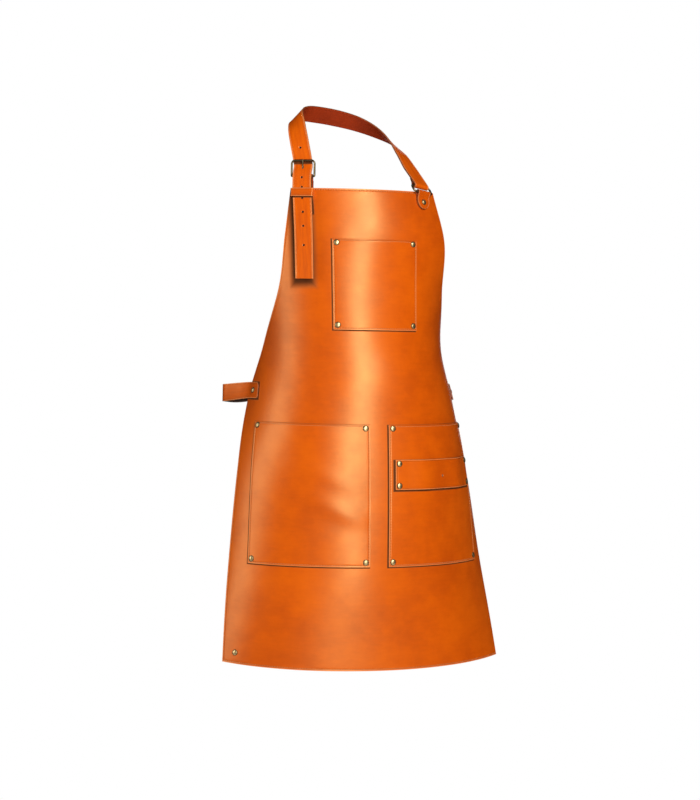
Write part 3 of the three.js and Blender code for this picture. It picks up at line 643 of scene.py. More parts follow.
def chape_stations():
    """The buckle strap: up the bib's front, round the buckle's lower bar and down behind the bib."""
    front = BUCKLE["lift"] + BUCKLE["wire"] + CAD_GAP + THICK["chape"] / 2
    behind = -THICK["panel"] - 1.5 * CAD_GAP - THICK["chape"] / 2
    seated = CAD_GAP + THICK["chape"] / 2
    bar = at_buckle(BUCKLE["bar"], BUCKLE["lift"])
    shoulder = BUCKLE["bar"] - CHAPE["neck_length"]
    wide, neck = CHAPE["width"], CHAPE["neck"]

    def leg(drop, lift):
        along, _, out = directions(BUCKLE["u"], drop)
        bend = abs(turn_at(BUCKLE["u"] + 1, drop) - turn_at(BUCKLE["u"] - 1, drop)) / 2
        return station(wrap(BUCKLE["u"], drop, lift), along, wide, out * -bend / 2)

    def free(place, width):
        return station(place, BUCKLE_ACROSS, width)

    back_lift = behind - CHAPE["back_ease"]
    radius = BUCKLE["wire"] + CAD_GAP + THICK["chape"] / 2
    turn = fold_round(bar, radius, BUCKLE_ACROSS, neck, BUCKLE_OUT, UP, 0, 180)
    return [
        *(leg(drop, seated) for drop in CHAPE_SEAT_DROPS),
        free(wrap(BUCKLE["u"], CHAPE_RISE_DROP, front), wide),
        free(at_buckle(0, front), wide),
        free(at_buckle(shoulder - CHAPE["shoulder"], front), wide),
        free(at_buckle(shoulder, front), neck),
        *turn,
        free(at_buckle(shoulder, back_lift), neck),
        free(at_buckle(shoulder - CHAPE["shoulder"], back_lift), wide),
        leg(0, behind),
        leg(CHAPE["back_end"] / 2, behind),
        leg(CHAPE["back_end"], behind),
    ]


def tab_stations():
    """The ring's tab: a round end on the bib, up round the ring's lower bar and down behind itself."""
    across = directions(RING["u"], TAB["rivet_drop"])[0]
    back_lift = CAD_GAP + THICK["tab"] / 2
    front_lift = back_lift + THICK["tab"] + LAY
    radius = TAB["width"] / 2
    angles = np.radians(np.linspace(TAB["tip_from"], 0, TAB["tip_steps"]))
    tip = [(TAB["end"] - radius * (1 - math.sin(a)), TAB["width"] * math.cos(a)) for a in angles]
    tip.append((TAB["flat"], TAB["width"]))

    def leg(drop, width, lift):
        return station(wrap(RING["u"], drop, lift), across, width)

    turn_radius = RING["wire"] + CAD_GAP + THICK["tab"] / 2
    turn = fold_round(RING_LOWER, turn_radius, RING_ACROSS, TAB["width"], -RING_BACK, TAB_UP, 0, 180)
    front = [leg(drop, width, front_lift) for drop, width in tip]
    return front + turn + [leg(drop, width, back_lift) for drop, width in reversed(tip)]


def side_loop_stations(side, lean):
    """A band from the panel's face past its edge, folded back on itself to the panel's back."""
    reach = LOOP_PATH["along"].max()
    edge = panel_at("half_width", SIDE_LOOP["drop"])
    along, _, out = directions(side * edge, SIDE_LOOP["drop"])
    past, off = unit(along * (1, 1, 0)) * side, unit(out * (1, 1, 0))
    stations = []
    for run, out, sink in zip(LOOP_PATH["along"], LOOP_PATH["out"], LOOP_PATH["sink"]):
        level = SIDE_LOOP["drop"] + sink
        u = side * (edge + min(run, 0))
        clear = max(run, 0)
        share = clear / reach
        away = out - lean * clear * share ** 2
        middle = wrap(u, level) + past * clear + off * away if clear else wrap(u, level, away)
        across = unit(directions(u, level)[1] * (1 - share) - UP * share) * side
        stations.append(station(middle, across, SIDE_LOOP["width"]))
    return stations


# Rivets

def corners_of(patch, side, top, bottom):
    """The four points that lie so far inside a patch's corners, the upper two first."""
    across = (patch["left"] + side, patch["left"] + patch["width"] - side)
    down = (patch["top"] + top, patch["top"] + patch["height"] - bottom)
    return [(u, drop) for drop in down for u in across]


def pocket_face(name, u, drop):
    """The lift of a pocket's outer face off the panel."""
    return pocket_lift(name, u, drop) + THICK["pocket"]


def strip_face(u, drop):
    """The lift of the tool strip's outer face off the panel."""
    return strip_lift(u, drop) + THICK["strip"]


def rivet_spots():
    """Every rivet by node: its place along the leather and the lifts of the faces that it holds."""
    patches = [(name, pocket, POCKET_RIVET_INSET, partial(pocket_face, name))
               for name, pocket in POCKETS.items()]
    patches.append(("tool_strip", STRIP, STRIP_RIVET_INSET, strip_face))
    spots = {}
    for name, patch, inset, face in patches:
        for k, corner in enumerate(corners_of(patch, **inset)):
            spots[f"{name}_rivet_{k + 1}"] = (*corner, -THICK["panel"], face(*corner))
    behind = -THICK["panel"] - CAD_GAP - THICK["chape"]
    spots["buckle_strap_rivet"] = (BUCKLE["u"], CHAPE_RIVET_DROP, behind, CAD_GAP + THICK["chape"])
    tab_face = CAD_GAP + LAY + 2 * THICK["tab"]
    spots["ring_tab_rivet"] = (RING["u"], TAB["rivet_drop"], -THICK["panel"], tab_face)
    edge = panel_at("half_width", SIDE_LOOP["drop"])
    front, back = LOOP_PATH["out"][1] + THICK["loop"] / 2, LOOP_PATH["out"][-2] - THICK["loop"] / 2
    for name, way in SIDES.items():
        u = way["side"] * (edge - SIDE_LOOP["rivet"])
        spots[f"{name}_side_loop_rivet"] = (u, SIDE_LOOP["drop"], back, front)
    spots["right_hem_rivet"] = (HEM_RIVET["u"], HEM_RIVET["drop"], -THICK["panel"], 0)
    return spots


def add_rivet(bm, edge_layer, u, drop, low, high):
    """A domed cap with a rolled rim, a post through the leather and a flat cap behind."""
    cap, dome, rim, post, back = (RIVET[key] for key in ("cap", "dome", "rim", "post", "back"))
    angles = np.linspace(0, math.pi / 2, RIVET_DOME["steps"])
    profile = [(RIVET_DOME["reach"] * cap * math.sin(a), rim + (dome - rim) * math.cos(a)) for a in angles]
    profile += [(cap * share, rim * height) for share, height in RIVET_RIM]
    foot = low - high - RIVET["back_height"]
    profile += [(post, 0), (post, low - high), (back, low - high)]
    profile += [(back, foot + RIVET_CHAMFER["up"]), (back - RIVET_CHAMFER["in"], foot), (0, foot)]
    verts = [bm.verts.new((radius * MM, 0, height * MM)) for radius, height in profile]
    for vert, (radius, _) in zip(verts, profile):
        vert[edge_layer] = cap - radius
    edges = [bm.edges.new(pair) for pair in zip(verts, verts[1:])]
    bmesh.ops.spin(bm, geom=verts + edges, cent=(0, 0, 0), axis=(0, 0, 1), angle=2 * math.pi,
                   steps=RIVET["spin"], use_merge=True)
    along, _, out = directions(u, drop)
    place = to_row(skin(u, drop, high))
    matrix = frame_matrix(along, np.cross(out, along), out, place)
    fresh = [vert for vert in bm.verts if not vert.tag]
    bmesh.ops.transform(bm, matrix=matrix, verts=fresh)
    for vert in fresh:
        vert.tag = True


# Stitching

def run_of(corners, closed):
    """A path through corners along the leather, as start and end pairs."""
    ends = corners[1:] + corners[:1] if closed else corners[1:]
    return list(zip(corners, ends))


def add_bead(bm, shape, matrix):
    sides, rings = shape["sides"], shape["rings"]
    bmesh.ops.create_uvsphere(bm, u_segments=sides, v_segments=rings, radius=1, matrix=matrix)


def sew(runs, lift_at, sewing):
    """Thread along straight runs on the leather, one rounded stitch after another."""
    bm = bmesh.new()
    bm.loops.layers.uv.new("flat")
    half, radius = sewing.stitch_length / 2, sewing.thread_radius
    for start, end in runs:
        start, end = np.array(start, float), np.array(end, float)
        length = np.linalg.norm(end - start)
        count = max(1, round(length / (sewing.stitch_pitch / MM)))
        spots = start + (end - start) * ((np.arange(count) + 0.5) / count)[:, None]
        u, drop = spots.T
        lift = lift_at(u, drop) + STITCH["proud"] * radius / MM
        way = (end - start) / length * 0.5
        here = to_row(skin(u, drop, lift))
        along = unit(skin(u + way[0], drop + way[1], lift) - skin(u - way[0], drop - way[1], lift))
        out = directions(u, drop)[2]
        aside = unit(np.cross(out, along))
        for place, a, s in zip(here, along, aside):
            up = np.cross(a, s)
            matrix = frame_matrix(s * radius, up * radius * STITCH["flat"], a * half, place)
            add_bead(bm, STITCH, matrix)
    for face in bm.faces:
        face.smooth = True
    return bm


# Shader building

class Field:
    """A socket that takes part in Python expressions; each operation adds a Math node."""

    def __init__(self, paint, socket):
        self.paint = paint
        self.socket = socket

    def math(self, operation, *values):
        return self.paint.node("ShaderNodeMath", {"operation": operation}, dict(enumerate(values)))

    def __add__(self, other):
        return self.math("ADD", self, other)

    __radd__ = __add__

    def __mul__(self, other):
        return self.math("MULTIPLY", self, other)

    __rmul__ = __mul__

    def __sub__(self, other):
        return self.math("SUBTRACT", self, other)

    def __rsub__(self, other):
        return self.math("SUBTRACT", other, self)

    def within(self, low, high, to_low=0.0, to_high=1.0):
        """Smoothly from to_low to to_high as the value goes from low to high."""
        settings = {"interpolation_type": "SMOOTHSTEP"}
        inputs = {"Value": self, "From Min": low, "From Max": high, "To Min": to_low, "To Max": to_high}
        return self.paint.node("ShaderNodeMapRange", settings, inputs)


class Paint:
    """The node tree of one material or world, and the one way to add nodes to it."""

    def __init__(self, owner):
        owner.use_nodes = True
        self.owner = owner
        self.tree = owner.node_tree
        self.tree.nodes.clear()

    def node(self, kind, settings=None, inputs=None, output=0):
        made = self.tree.nodes.new(kind)
        for key, value in (settings or {}).items():
            if key == "stops":
                ramp = made.color_ramp.elements
                while len(ramp) < len(value):
                    ramp.new(0.5)
                for element, (position, colour) in zip(ramp, value):
                    element.position = position
                    element.color = (*colour, 1)
            else:
                setattr(made, key, value)
        for key, value in (inputs or {}).items():
            if isinstance(value, Field):
                self.tree.links.new(value.socket, made.inputs[key])
            else:
                made.inputs[key].default_value = value
        return Field(self, made.outputs[output]) if made.outputs else None

    def flat(self):
        return self.node("ShaderNodeUVMap", {"uv_map": "flat"})

    def place(self):
        return self.node("ShaderNodeTexCoord", output="Object")

    def attribute(self, name):
        return self.node("ShaderNodeAttribute", {"attribute_name": name}, output="Fac")

    def noise(self, where, scale, detail, roughness, stretch=None):
        if stretch:
            where = self.node("ShaderNodeMapping", {}, {"Vector": where, "Scale": stretch})
        inputs = {"Vector": where, "Scale": scale, "Detail": detail, "Roughness": roughness}
        return self.node("ShaderNodeTexNoise", {"noise_dimensions": "3D"}, inputs)

    def mix(self, share, low, high):
        """From colour low to colour high by a share."""
        settings = {"data_type": "RGBA", "blend_type": "MIX"}
        low, high = (c if isinstance(c, Field) else (*c, 1) for c in (low, high))
        return self.node("ShaderNodeMix", settings, {"Factor": share, 6: low, 7: high}, output=2)

    def shade(self, inputs):
        """The surface: a Principled shader with these inputs."""
        shader = self.node("ShaderNodeBsdfPrincipled", {}, inputs)
        self.node("ShaderNodeOutputMaterial", {}, {"Surface": shader})
        return self.owner

    def bump(self, height, strength, distance):
        inputs = {"Height": height, "Strength": strength, "Distance": distance}
        return self.node("ShaderNodeBump", {}, inputs)


# How far the painted shadow of a patch reaches past each of its sides
# Painted shadows left of and below the pockets and the tool strip, right of and below the side loop's end
POCKET_SHADE = {"left": 1.9, "right": -0.6, "top": -0.5, "bottom": 1.5, "soft": 1.2}
STRIP_SHADE = {"left": 2.8, "right": -0.6, "top": -0.5, "bottom": 2.6, "soft": 1.6}
LOOP_SHADE = {"left": 0, "right": 0.8, "top": -0.5, "bottom": 0.9, "soft": 1.4}
# Painted cast shadow of the neck strap's tail on the bib, left of and below it
TAIL_SHADE = {"left": 5, "right": -9, "top": 0, "bottom": 4.5, "soft": 15}
# Painted shadows on the neck strap: at the keeper and just below it, and under the buckle's top bar
KEEPER_SHADE = {"left": 9, "right": 9, "top": 1.8, "bottom": 0.4, "soft": 1.2}
BAR_SHADE = {"left": 9, "right": 9, "top": 0, "bottom": 0, "soft": 2.4}
# Painted shade over the buckle strap's front, which lies in the tail's shadow
CHAPE_SHADE = {"left": 9, "right": 9, "top": 9, "bottom": 0, "soft": 8}
# Painted shade on the side loops' folded ends, which turn away from the light
FOLD_SHADE = {"left": 9, "right": 9, "top": 0, "bottom": 0, "soft": 10}
# Heights at the buckle between which the neck strap gets the painted shadow under the top bar
BAR_SHADOW_SPAN = {"from": 39.5, "to": 45}
# Length along the buckle strap's front that gets the painted shade
CHAPE_FRONT = 62
# Where along a side loop the painted shade on its fold lies: its start and its length
LOOP_FOLD = {"from": 103, "length": 16}


def beside(u, drop, patch, shade):
    """How much of a patch's painted shadow lies on the leather beside it."""
    spans = (
        (u, patch["left"] - shade["left"], patch["left"] + patch["width"] + shade["right"]),
        (drop, patch["top"] - shade["top"], patch["top"] + patch["height"] + shade["bottom"]),
    )
    off = []
    for value, low, high in spans:
        from_middle = value - (low + high) / 2 * MM
        off.append(from_middle.math("ABSOLUTE", from_middle) - (high - low) / 2 * MM)
    return off[0].math("MAXIMUM", *off).within(-0.2 * MM, shade["soft"] * MM, 1, 0)


def right_loop_tab():
    """The rectangle of the panel that the right side loop's end covers."""
    edge = float(panel_at("half_width", SIDE_LOOP["drop"]))
    top = SIDE_LOOP["drop"] - SIDE_LOOP["width"] / 2
    return {"left": -edge, "width": -LOOP_PATH["along"][0], "top": top, "height": SIDE_LOOP["width"]}


CROSSWISE, LENGTHWISE = (0.35, 1.6, 1), (1.6, 0.12, 1)


def stretch_of(width, start, end):
    """The rectangle of a strap from one place along it to another."""
    return {"left": -width / 2, "width": width, "top": start, "height": end - start}


def tail_cover():
    """The rectangle of the bib that the neck strap's tail covers."""
    left, top = BUCKLE["u"] - STRAP_WIDTH / 2, KEEPER["drop"]
    return {"left": left, "width": STRAP_WIDTH, "top": top, "height": TAIL["drop"][0] - top}


def strap_front(stations):
    """The neck strap's middle line, where it lies between stations, and its rows on the buckle's side."""
    middles, shares = centripetal(np.array(stations)[:, :3], BAND_STEP)
    rows = np.flatnonzero((middles[:, 0] < 0) & (middles[:, 1] < STRAP_HOLES["shoulder"]))
    return middles, shares, rows


def strap_shadows():
    """The stretches of the neck strap with painted shadow: the keeper's stretch and just below it, and under
    the buckle's top bar.
    """
    middles, _, rows = strap_front(strap_stations())
    travel = travel_along(middles)

    def passes(height):
        return float(np.interp(height, middles[rows, 2], travel[rows]))

    low, high = (passes(-KEEPER["drop"] + side * KEEPER["height"] / 2) for side in (-1, 1))
    return [(stretch_of(STRAP_WIDTH, low, high), KEEPER_SHADE),
            (stretch_of(STRAP_WIDTH, passes(BAR_SHADOW_SPAN["from"]), passes(BAR_SHADOW_SPAN["to"])), BAR_SHADE)]


def darker(colour, share):
    return [c * share for c in colour]


def grain_leather(name, look, seam, patches=(), streaky=0.12, way=CROSSWISE, tone=1.0):
    """Smooth dyed leather: mottling, streaks, fine grain, painted shade by seams and patches, edge wear and
    painted highlight.
    """
    paint = Paint(bpy.data.materials.new(name))
    flat = paint.flat()
    edge = paint.attribute("edge")
    slow = paint.noise(flat, scale=6, detail=3, roughness=0.5)
    cloudy = paint.noise(flat, scale=30, detail=4, roughness=0.6)
    streaks = paint.noise(flat, scale=120, detail=3, roughness=0.6, stretch=way)
    mottle = ((slow * 0.68 + cloudy * 0.32) * (1 - streaky) + streaks * streaky).within(0.3, 0.7)
    tones = [darker(colour, tone) for colour in (look.deep, look.body, look.glow)]
    colour = paint.node("ShaderNodeValToRGB", {"stops": list(zip((0, 0.5, 1), tones))}, {"Fac": mottle})
    # Painted shade along the seam or crease groove
    line = edge.within(seam - 1, seam) * edge.within(seam, seam + 1, 1, 0)
    colour = paint.mix(line * look.seam_shade, colour, look.painted_shade)
    # A lighter band inside cut edges: edge wear and a painted highlight on the rounded edge
    worn = edge.within(0.2, look.wear_and_highlight_width / MM, 1, 0) * (cloudy * 0.6 + 0.4)
    colour = paint.mix(worn * 0.75, colour, look.rub_and_highlight)
    dull = 0
    # Painted shadows beside patches, where the leather is also made duller
    if patches:
        u, drop = (paint.node("ShaderNodeSeparateXYZ", {}, {"Vector": flat}, output=k) for k in (0, 1))
        for patch, reach in patches:
            shade = beside(u, drop, patch, reach) * look.patch_shade
            colour = paint.mix(shade, colour, look.painted_shade)
            dull = shade * 0.6 + dull
    cells = paint.node("ShaderNodeTexVoronoi", {"feature": "SMOOTH_F1"},
                       {"Vector": flat, "Scale": 1 / look.grain_size, "Smoothness": 0.6})
    pores = paint.noise(flat, scale=1.9 / look.grain_size, detail=3, roughness=0.6)
    height = cells * 0.7 + pores * 0.6 + cloudy * 0.9
    rough = mottle.within(0, 1, look.roughness + 0.04, look.roughness - 0.03) + pores * 0.05 + dull
    return paint.shade({
        "Base Color": colour,
        "Roughness": rough,
        "Normal": paint.bump(height, look.grain_depth, 0.0006),
        "Coat Weight": look.wax,
        "Coat Roughness": 0.3,
        "Specular IOR Level": 1.0,
        "Specular Tint": (*look.shine, 1),
    })


def raw_leather(name, look):
    """The flesh side: darker, dull, with short fibres."""
    paint = Paint(bpy.data.materials.new(name))
    flat = paint.flat()
    nap = paint.noise(flat, scale=900, detail=4, roughness=0.65)
    fibres = paint.noise(flat, scale=260, detail=5, roughness=0.7, stretch=(1.0, 0.3, 1))
    slow = paint.noise(flat, scale=22, detail=3, roughness=0.5)
    mixed = (nap * 0.35 + fibres * 0.35 + slow * 0.3).within(0.3, 0.7)
    colour = paint.mix(mixed, darker(look.raw, 0.62), look.raw)
    return paint.shade({
        "Base Color": colour,
        "Roughness": mixed.within(0, 1, 0.62, 0.5),
        "Normal": paint.bump(nap + fibres, 0.35, 0.0004),
        "Specular IOR Level": 0.15,
    })


def cut_edge(name, look):
    """A cut edge: pale fibres in fine layers, burnished in places."""
    paint = Paint(bpy.data.materials.new(name))
    place = paint.place()
    layers = paint.noise(place, scale=420, detail=4, roughness=0.7)
    burnish = paint.noise(place, scale=60, detail=2, roughness=0.5)
    tone = (layers * 0.6 + burnish * 0.4).within(0.35, 0.65)
    colour = paint.mix(tone, darker(look.cut, 0.55), look.cut)
    return paint.shade({
        "Base Color": colour,
        "Roughness": layers.within(0.3, 0.7, 0.45, 0.62),
        "Normal": paint.bump(layers, 0.3, 0.0003),
    })


def thread_finish(name, look):
    """Waxed thread, with its twist as fine slanted ribs."""
    paint = Paint(bpy.data.materials.new(name))
    place = paint.place()
    twist = paint.node("ShaderNodeTexWave", {"bands_direction": "DIAGONAL"},
                       {"Vector": place, "Scale": 900, "Distortion": 1.5})
    fuzz = paint.noise(place, scale=1500, detail=2, roughness=0.5)
    tone = (twist * 0.5 + fuzz * 0.5).within(0.2, 0.8)
    colour = paint.mix(tone, darker(look.thread, 0.6), look.thread)
    return paint.shade({
        "Base Color": colour,
        "Roughness": fuzz.within(0.2, 0.8, 0.45, 0.62),
        "Normal": paint.bump(twist, 0.4, 0.0002),
    })


def antique_brass(name, bright, patina):
    """Aged brass: dark in the hollows and along rims, bright where it is rubbed."""
    paint = Paint(bpy.data.materials.new(name))
    place = paint.place()
    edge = paint.attribute("edge")
    patches = paint.noise(place, scale=240, detail=4, roughness=0.6)
    scratches = paint.noise(place, scale=900, detail=3, roughness=0.6, stretch=(1, 1, 0.25))
    rubbed = edge.within(0.15, 1.6) * patches.within(0.25, 0.6, 0.35, 1)
    colour = paint.mix(rubbed, patina, bright)
    rough = (rubbed * -0.12 + scratches * 0.14) + 0.44
    return paint.shade({
        "Base Color": colour,
        "Metallic": 1.0,
        "Roughness": rough,
        "Normal": paint.bump(patches * 0.6 + scratches * 0.4, 0.06, 0.0004),
    })


def hole_shade(name):
    """A punched hole's burnished wall painted near-black as shade; also the strip's slit and side loops'
    insides.
    """
    paint = Paint(bpy.data.materials.new(name))
    fibres = paint.noise(paint.place(), scale=700, detail=3, roughness=0.6)
    return paint.shade({
        "Base Color": paint.mix(fibres, (0.02, 0.007, 0.003), (0.07, 0.022, 0.008)),
        "Roughness": fibres.within(0.3, 0.7, 0.6, 0.85),
    })


def pale_floor(name, shade):
    """A plain matt floor."""
    paint = Paint(bpy.data.materials.new(name))
    dust = paint.noise(paint.place(), scale=3, detail=3, roughness=0.5)
    colour = paint.mix(dust, darker(shade, 0.985), shade)
    return paint.shade({"Base Color": colour, "Roughness": dust.within(0.3, 0.7, 0.85, 0.95),
                        "Specular IOR Level": 0.1})


FINISHES = {}


def finishes():
    """The apron's materials, made once."""
    if not FINISHES:
        look = bpy.context.scene.apron_leather
        metal = bpy.context.scene.apron_brass
        # Painted shadows on the panel beside the pockets, the right side loop's end and the tail; on the
        # pockets beside the tool strip
        covered = [(pocket, POCKET_SHADE) for pocket in POCKETS.values()]
        covered += [(right_loop_tab(), LOOP_SHADE), (tail_cover(), TAIL_SHADE)]
        chape_front = stretch_of(CHAPE["width"], 0, CHAPE_FRONT)
        start = LOOP_FOLD["from"]
        loop_fold = stretch_of(SIDE_LOOP["width"], start, start + LOOP_FOLD["length"])
        folded = [(loop_fold, FOLD_SHADE)]
        seam, crease = SEAM["inset"], CREASE["inset"]
        FINISHES.update(
            panel=grain_leather("panel leather", look, seam, covered),
            pocket=grain_leather("pocket leather", look, seam, [(STRIP, STRIP_SHADE)]),
            strap=grain_leather("strap leather", look, crease),
            neck=grain_leather("neck strap leather", look, crease, strap_shadows(), 0.5, LENGTHWISE, 1.1),
            chape=grain_leather("buckle strap leather", look, crease, [(chape_front, CHAPE_SHADE)]),
            loop=grain_leather("side loop leather", look, crease, folded, 0.4, LENGTHWISE),
            raw=raw_leather("raw leather side", look),
            cut=cut_edge("cut leather edge", look),
            thread=thread_finish("waxed thread", look),
            brass=antique_brass("antique brass", metal.brass, metal.patina),
            wire=antique_brass("dark brass wire", metal.wire, metal.patina),
            hole=hole_shade("punched hole"),
        )
    return FINISHES


def leathers(front, back="raw"):
    made = finishes()
    return [made[front], made[back], made["cut"]]


def leather_patch(node, patch, lift_at, thickness, finish, pitch, lines, mouth_ease=0.0):
    """A rectangular patch on the leather below it."""
    place = patch_place(patch, lift_at, thickness, mouth_ease)
    across, down = (graded(patch[side], pitch, lines) for side in ("width", "height"))
    piece = keep(f"{node}_leather", grid(across, down, place), leathers(finish), [node])
    return give_thickness(piece, thickness, -1)


def leather_band(node, stations, width, thickness, finish, step, rounding=BAND_ROUND, back="raw", corner=0):
    """A strap through stations, about whose middle its thickness lies."""
    bm = band(stations, graded(width, BAND_PITCH, CREASE_LINES), step, corner)
    piece = keep(f"{node}_leather", bm, leathers(finish, back), [node])
    return give_thickness(piece, thickness, 0, rounding)


def keep_brass(name, bm, finish, nodes):
    return keep(f"{name}_brass", bm, [finishes()[finish]], nodes)


# Settings

def colour_of(name, description, default):
    return FloatVectorProperty(name=name, description=description, subtype="COLOR", size=3, min=0, max=1,
                               default=default)


def length_of(name, description, default):
    return FloatProperty(name=name, description=description, default=default, unit="LENGTH")


def share_of(name, description, default):
    return FloatProperty(name=name, description=description, default=default, min=0, max=1, subtype="FACTOR")


def angle_of(name, description, degrees):
    return FloatProperty(name=name, description=description, default=math.radians(degrees), subtype="ANGLE",
                         unit="ROTATION")


def power_of(name, description, default):
    return FloatProperty(name=name, description=description, default=default, min=0)


class ApronLeather(bpy.types.PropertyGroup):
    """Colours and grain of the leather."""

    deep: colour_of("Deep", "Darkest tone of the mottled grain side", (0.56, 0.069, 0.0005))
    body: colour_of("Body", "Main tone of the grain side", (0.70, 0.099, 0.0009))
    glow: colour_of("Glow", "Lightest tone of the grain side", (0.80, 0.128, 0.002))
    shine: colour_of("Shine", "Tint of the light that the grain side mirrors", (1.0, 0.78, 0.31))
    # Painted shade: the tone of the seam grooves and of the painted shadows beside patches
    painted_shade: colour_of("Crevice", "Tone of the dye settled in seams", (0.075, 0.007, 0.0004))
    raw: colour_of("Raw side", "Tone of the flesh side", (0.46, 0.042, 0.005))
    cut: colour_of("Cut edge", "Tone of a burnished cut edge", (0.34, 0.085, 0.018))
    # The light line inside a cut edge: edge wear and a painted highlight
    rub_and_highlight: colour_of("Rubbed edge", "Tone of the light line inside a cut edge", (1.0, 0.42, 0.15))
    thread: colour_of("Thread", "Tone of the waxed thread", (0.90, 0.33, 0.10))
    roughness: share_of("Roughness", "Roughness of the grain side", 0.31)
    wax: share_of("Wax", "Weight of the waxy coat on the grain", 0.02)
    grain_size: length_of("Grain size", "Size of one cell of the grain", 0.0013)
    grain_depth: share_of("Grain depth", "Strength of the grain's relief", 0.13)
    # Width of the lighter edge band of wear and painted highlight
    wear_and_highlight_width: length_of("Edge wear", "Width of the lighter band at a cut edge", 0.0019)
    # Strengths of the painted shade in seam grooves and of the painted shadows beside patches
    seam_shade: share_of("Seam shade", "Darkening along seams and creases", 0.35)
    patch_shade: share_of("Patch shade", "Darkening beside pockets and strips", 0.95)


class ApronBrass(bpy.types.PropertyGroup):
    """Tones of the brass."""

    brass: colour_of("Brass", "Tone where the metal is rubbed bright", (0.78, 0.57, 0.27))
    wire: colour_of("Wire", "Tone of the buckle's and the ring's darker wire", (0.20, 0.15, 0.08))
    patina: colour_of("Patina", "Tone of the aged hollows", (0.10, 0.072, 0.032))


class ApronSewing(bpy.types.PropertyGroup):
    """Sizes of the stitching and of the meshes."""

    stitch_length: length_of("Stitch length", "Length of one visible stitch", 0.0034)
    stitch_pitch: length_of("Stitch pitch", "Distance from stitch to stitch", 0.0044)
    thread_radius: length_of("Thread radius", "Half the thread's thickness", 0.0005)
    panel_pitch: length_of("Panel mesh", "Distance between the panel's grid lines", 0.005)
    patch_pitch: length_of("Pocket mesh", "Distance between the pockets' grid lines", 0.004)


class ApronStage(bpy.types.PropertyGroup):
    """Camera, lights and floor."""

    camera_turn: angle_of("Camera turn", "How far the camera stands to the wearer's right", 17.22)
    camera_reach: length_of("Camera distance", "Distance of the camera from the bib", 3.52945)
    camera_height: length_of("Camera height", "Height of the camera over the bib's top edge", -0.21737)
    camera_pan: angle_of("Camera pan", "Turn of the view beside the bib", -0.44)
    camera_pitch: angle_of("Camera pitch", "Downward tilt of the view", 2.17)
    camera_roll: angle_of("Camera roll", "Turn of the picture", 1.07)
    lens: FloatProperty(name="Lens", description="Focal length for a 36 mm high picture", default=95.315)
    floor_height: length_of("Floor height", "Height of the floor under the neck rest", -1.45)
    floor_reach: length_of("Floor radius", "Radius of the round floor", 1.5)
    floor_shade: colour_of("Floor", "Tone of the floor", (0.93, 0.93, 0.93))
    key_power: power_of("Key light", "Power of the main light in watts", 57)
    left_power: power_of("Left light", "Power of the light at the left in watts", 15)
    top_power: power_of("Top light", "Power of the light above in watts", 17)
    back_power: power_of("Back light", "Power of the light behind in watts", 12)
    haze: power_of("Haze", "Brightness of the room's even light", 0.012)


# Operators

class APRON_OT_cut_panel(bpy.types.Operator):
    """Cut the bib and skirt from one sheet and bend it round the body"""

    bl_idname = "apron.cut_panel"
    bl_label = "Apron panel"

    def execute(self, context):
        pitch = context.scene.apron_sewing.panel_pitch / MM
        width = 2 * SECTIONS["half_width"].max()
        bm = grid(graded(width, pitch, SEAM_LINES), graded(HEM_DROP, pitch, SEAM_LINES), panel_place)
        piece = keep("apron_panel_leather", bm, leathers("panel"), ["apron_panel"])
        give_thickness(piece, THICK["panel"], -1)
        drops = np.linspace(0, HEM_DROP, AREA_STEPS)
        area = float(2 * panel_at("half_width", drops).mean()) * HEM_DROP * MM ** 2
        return {"FINISHED"}


class APRON_OT_sew_pockets(bpy.types.Operator):
    """Lay the three patch pockets on the panel"""

    bl_idname = "apron.sew_pockets"
    bl_label = "Pockets"

    def execute(self, context):
        pitch = context.scene.apron_sewing.patch_pitch / MM
        for name, pocket in POCKETS.items():
            lift_at = partial(pocket_lift, name)
            piece = leather_patch(name, pocket, lift_at, THICK["pocket"], "pocket", pitch, SEAM_LINES,
                                  MOUTH_EASE)
        return {"FINISHED"}


class APRON_OT_lay_tool_strip(bpy.types.Operator):
    """Lay the tool strip with its two loops on the left hip pocket"""

    bl_idname = "apron.lay_tool_strip"
    bl_label = "Tool strip"

    def execute(self, context):
        pitch = context.scene.apron_sewing.patch_pitch / MM / 2
        piece = leather_patch("tool_strip", STRIP, strip_lift, THICK["strip"], "strap", pitch, CREASE_LINES)
        return {"FINISHED"}


class APRON_OT_hang_neck_strap(bpy.types.Operator):
    """Lead the neck strap from its tail through the buckle and round the neck to the ring"""

    bl_idname = "apron.hang_neck_strap"
    bl_label = "Neck strap"

    def execute(self, context):
        stations = strap_stations()
        piece = leather_band("neck_strap", stations, STRAP_WIDTH, THICK["strap"], "neck", BAND_STEP,
                             STRAP_ROUND)
        bake_modifiers(piece)
        drill = bmesh.new()
        middles, shares, rows = strap_front(stations)
        radius = STRAP_HOLES["radius"] * MM
        stand = THICK["strap"] / 2 - STRAP_HOLES["deep"] + STRAP_HOLES["reach"] / 2
        for height in STRAP_HOLE_HEIGHTS:
            k = rows[np.argmax(middles[rows, 2] > height)]
            below, above = middles[k - 1], middles[k]
            share = (height - below[2]) / (above[2] - below[2])
            across = stations[int(shares[k])][3:6]
            out = unit(np.cross(across, above - below))
            spot = below + (above - below) * share + out * stand
            matrix = frame_matrix(across, np.cross(out, across), out, to_row(spot))
            bmesh.ops.create_cone(drill, cap_ends=True, segments=STRAP_HOLES["sides"], radius1=radius,
                                  radius2=radius, depth=STRAP_HOLES["reach"] * MM, matrix=matrix)
        cut_away(piece, drill, finishes()["hole"])
        cut_away(piece, prong_rod(PRONG["radius"] + PRONG_PLAY), finishes()["hole"])
        return {"FINISHED"}


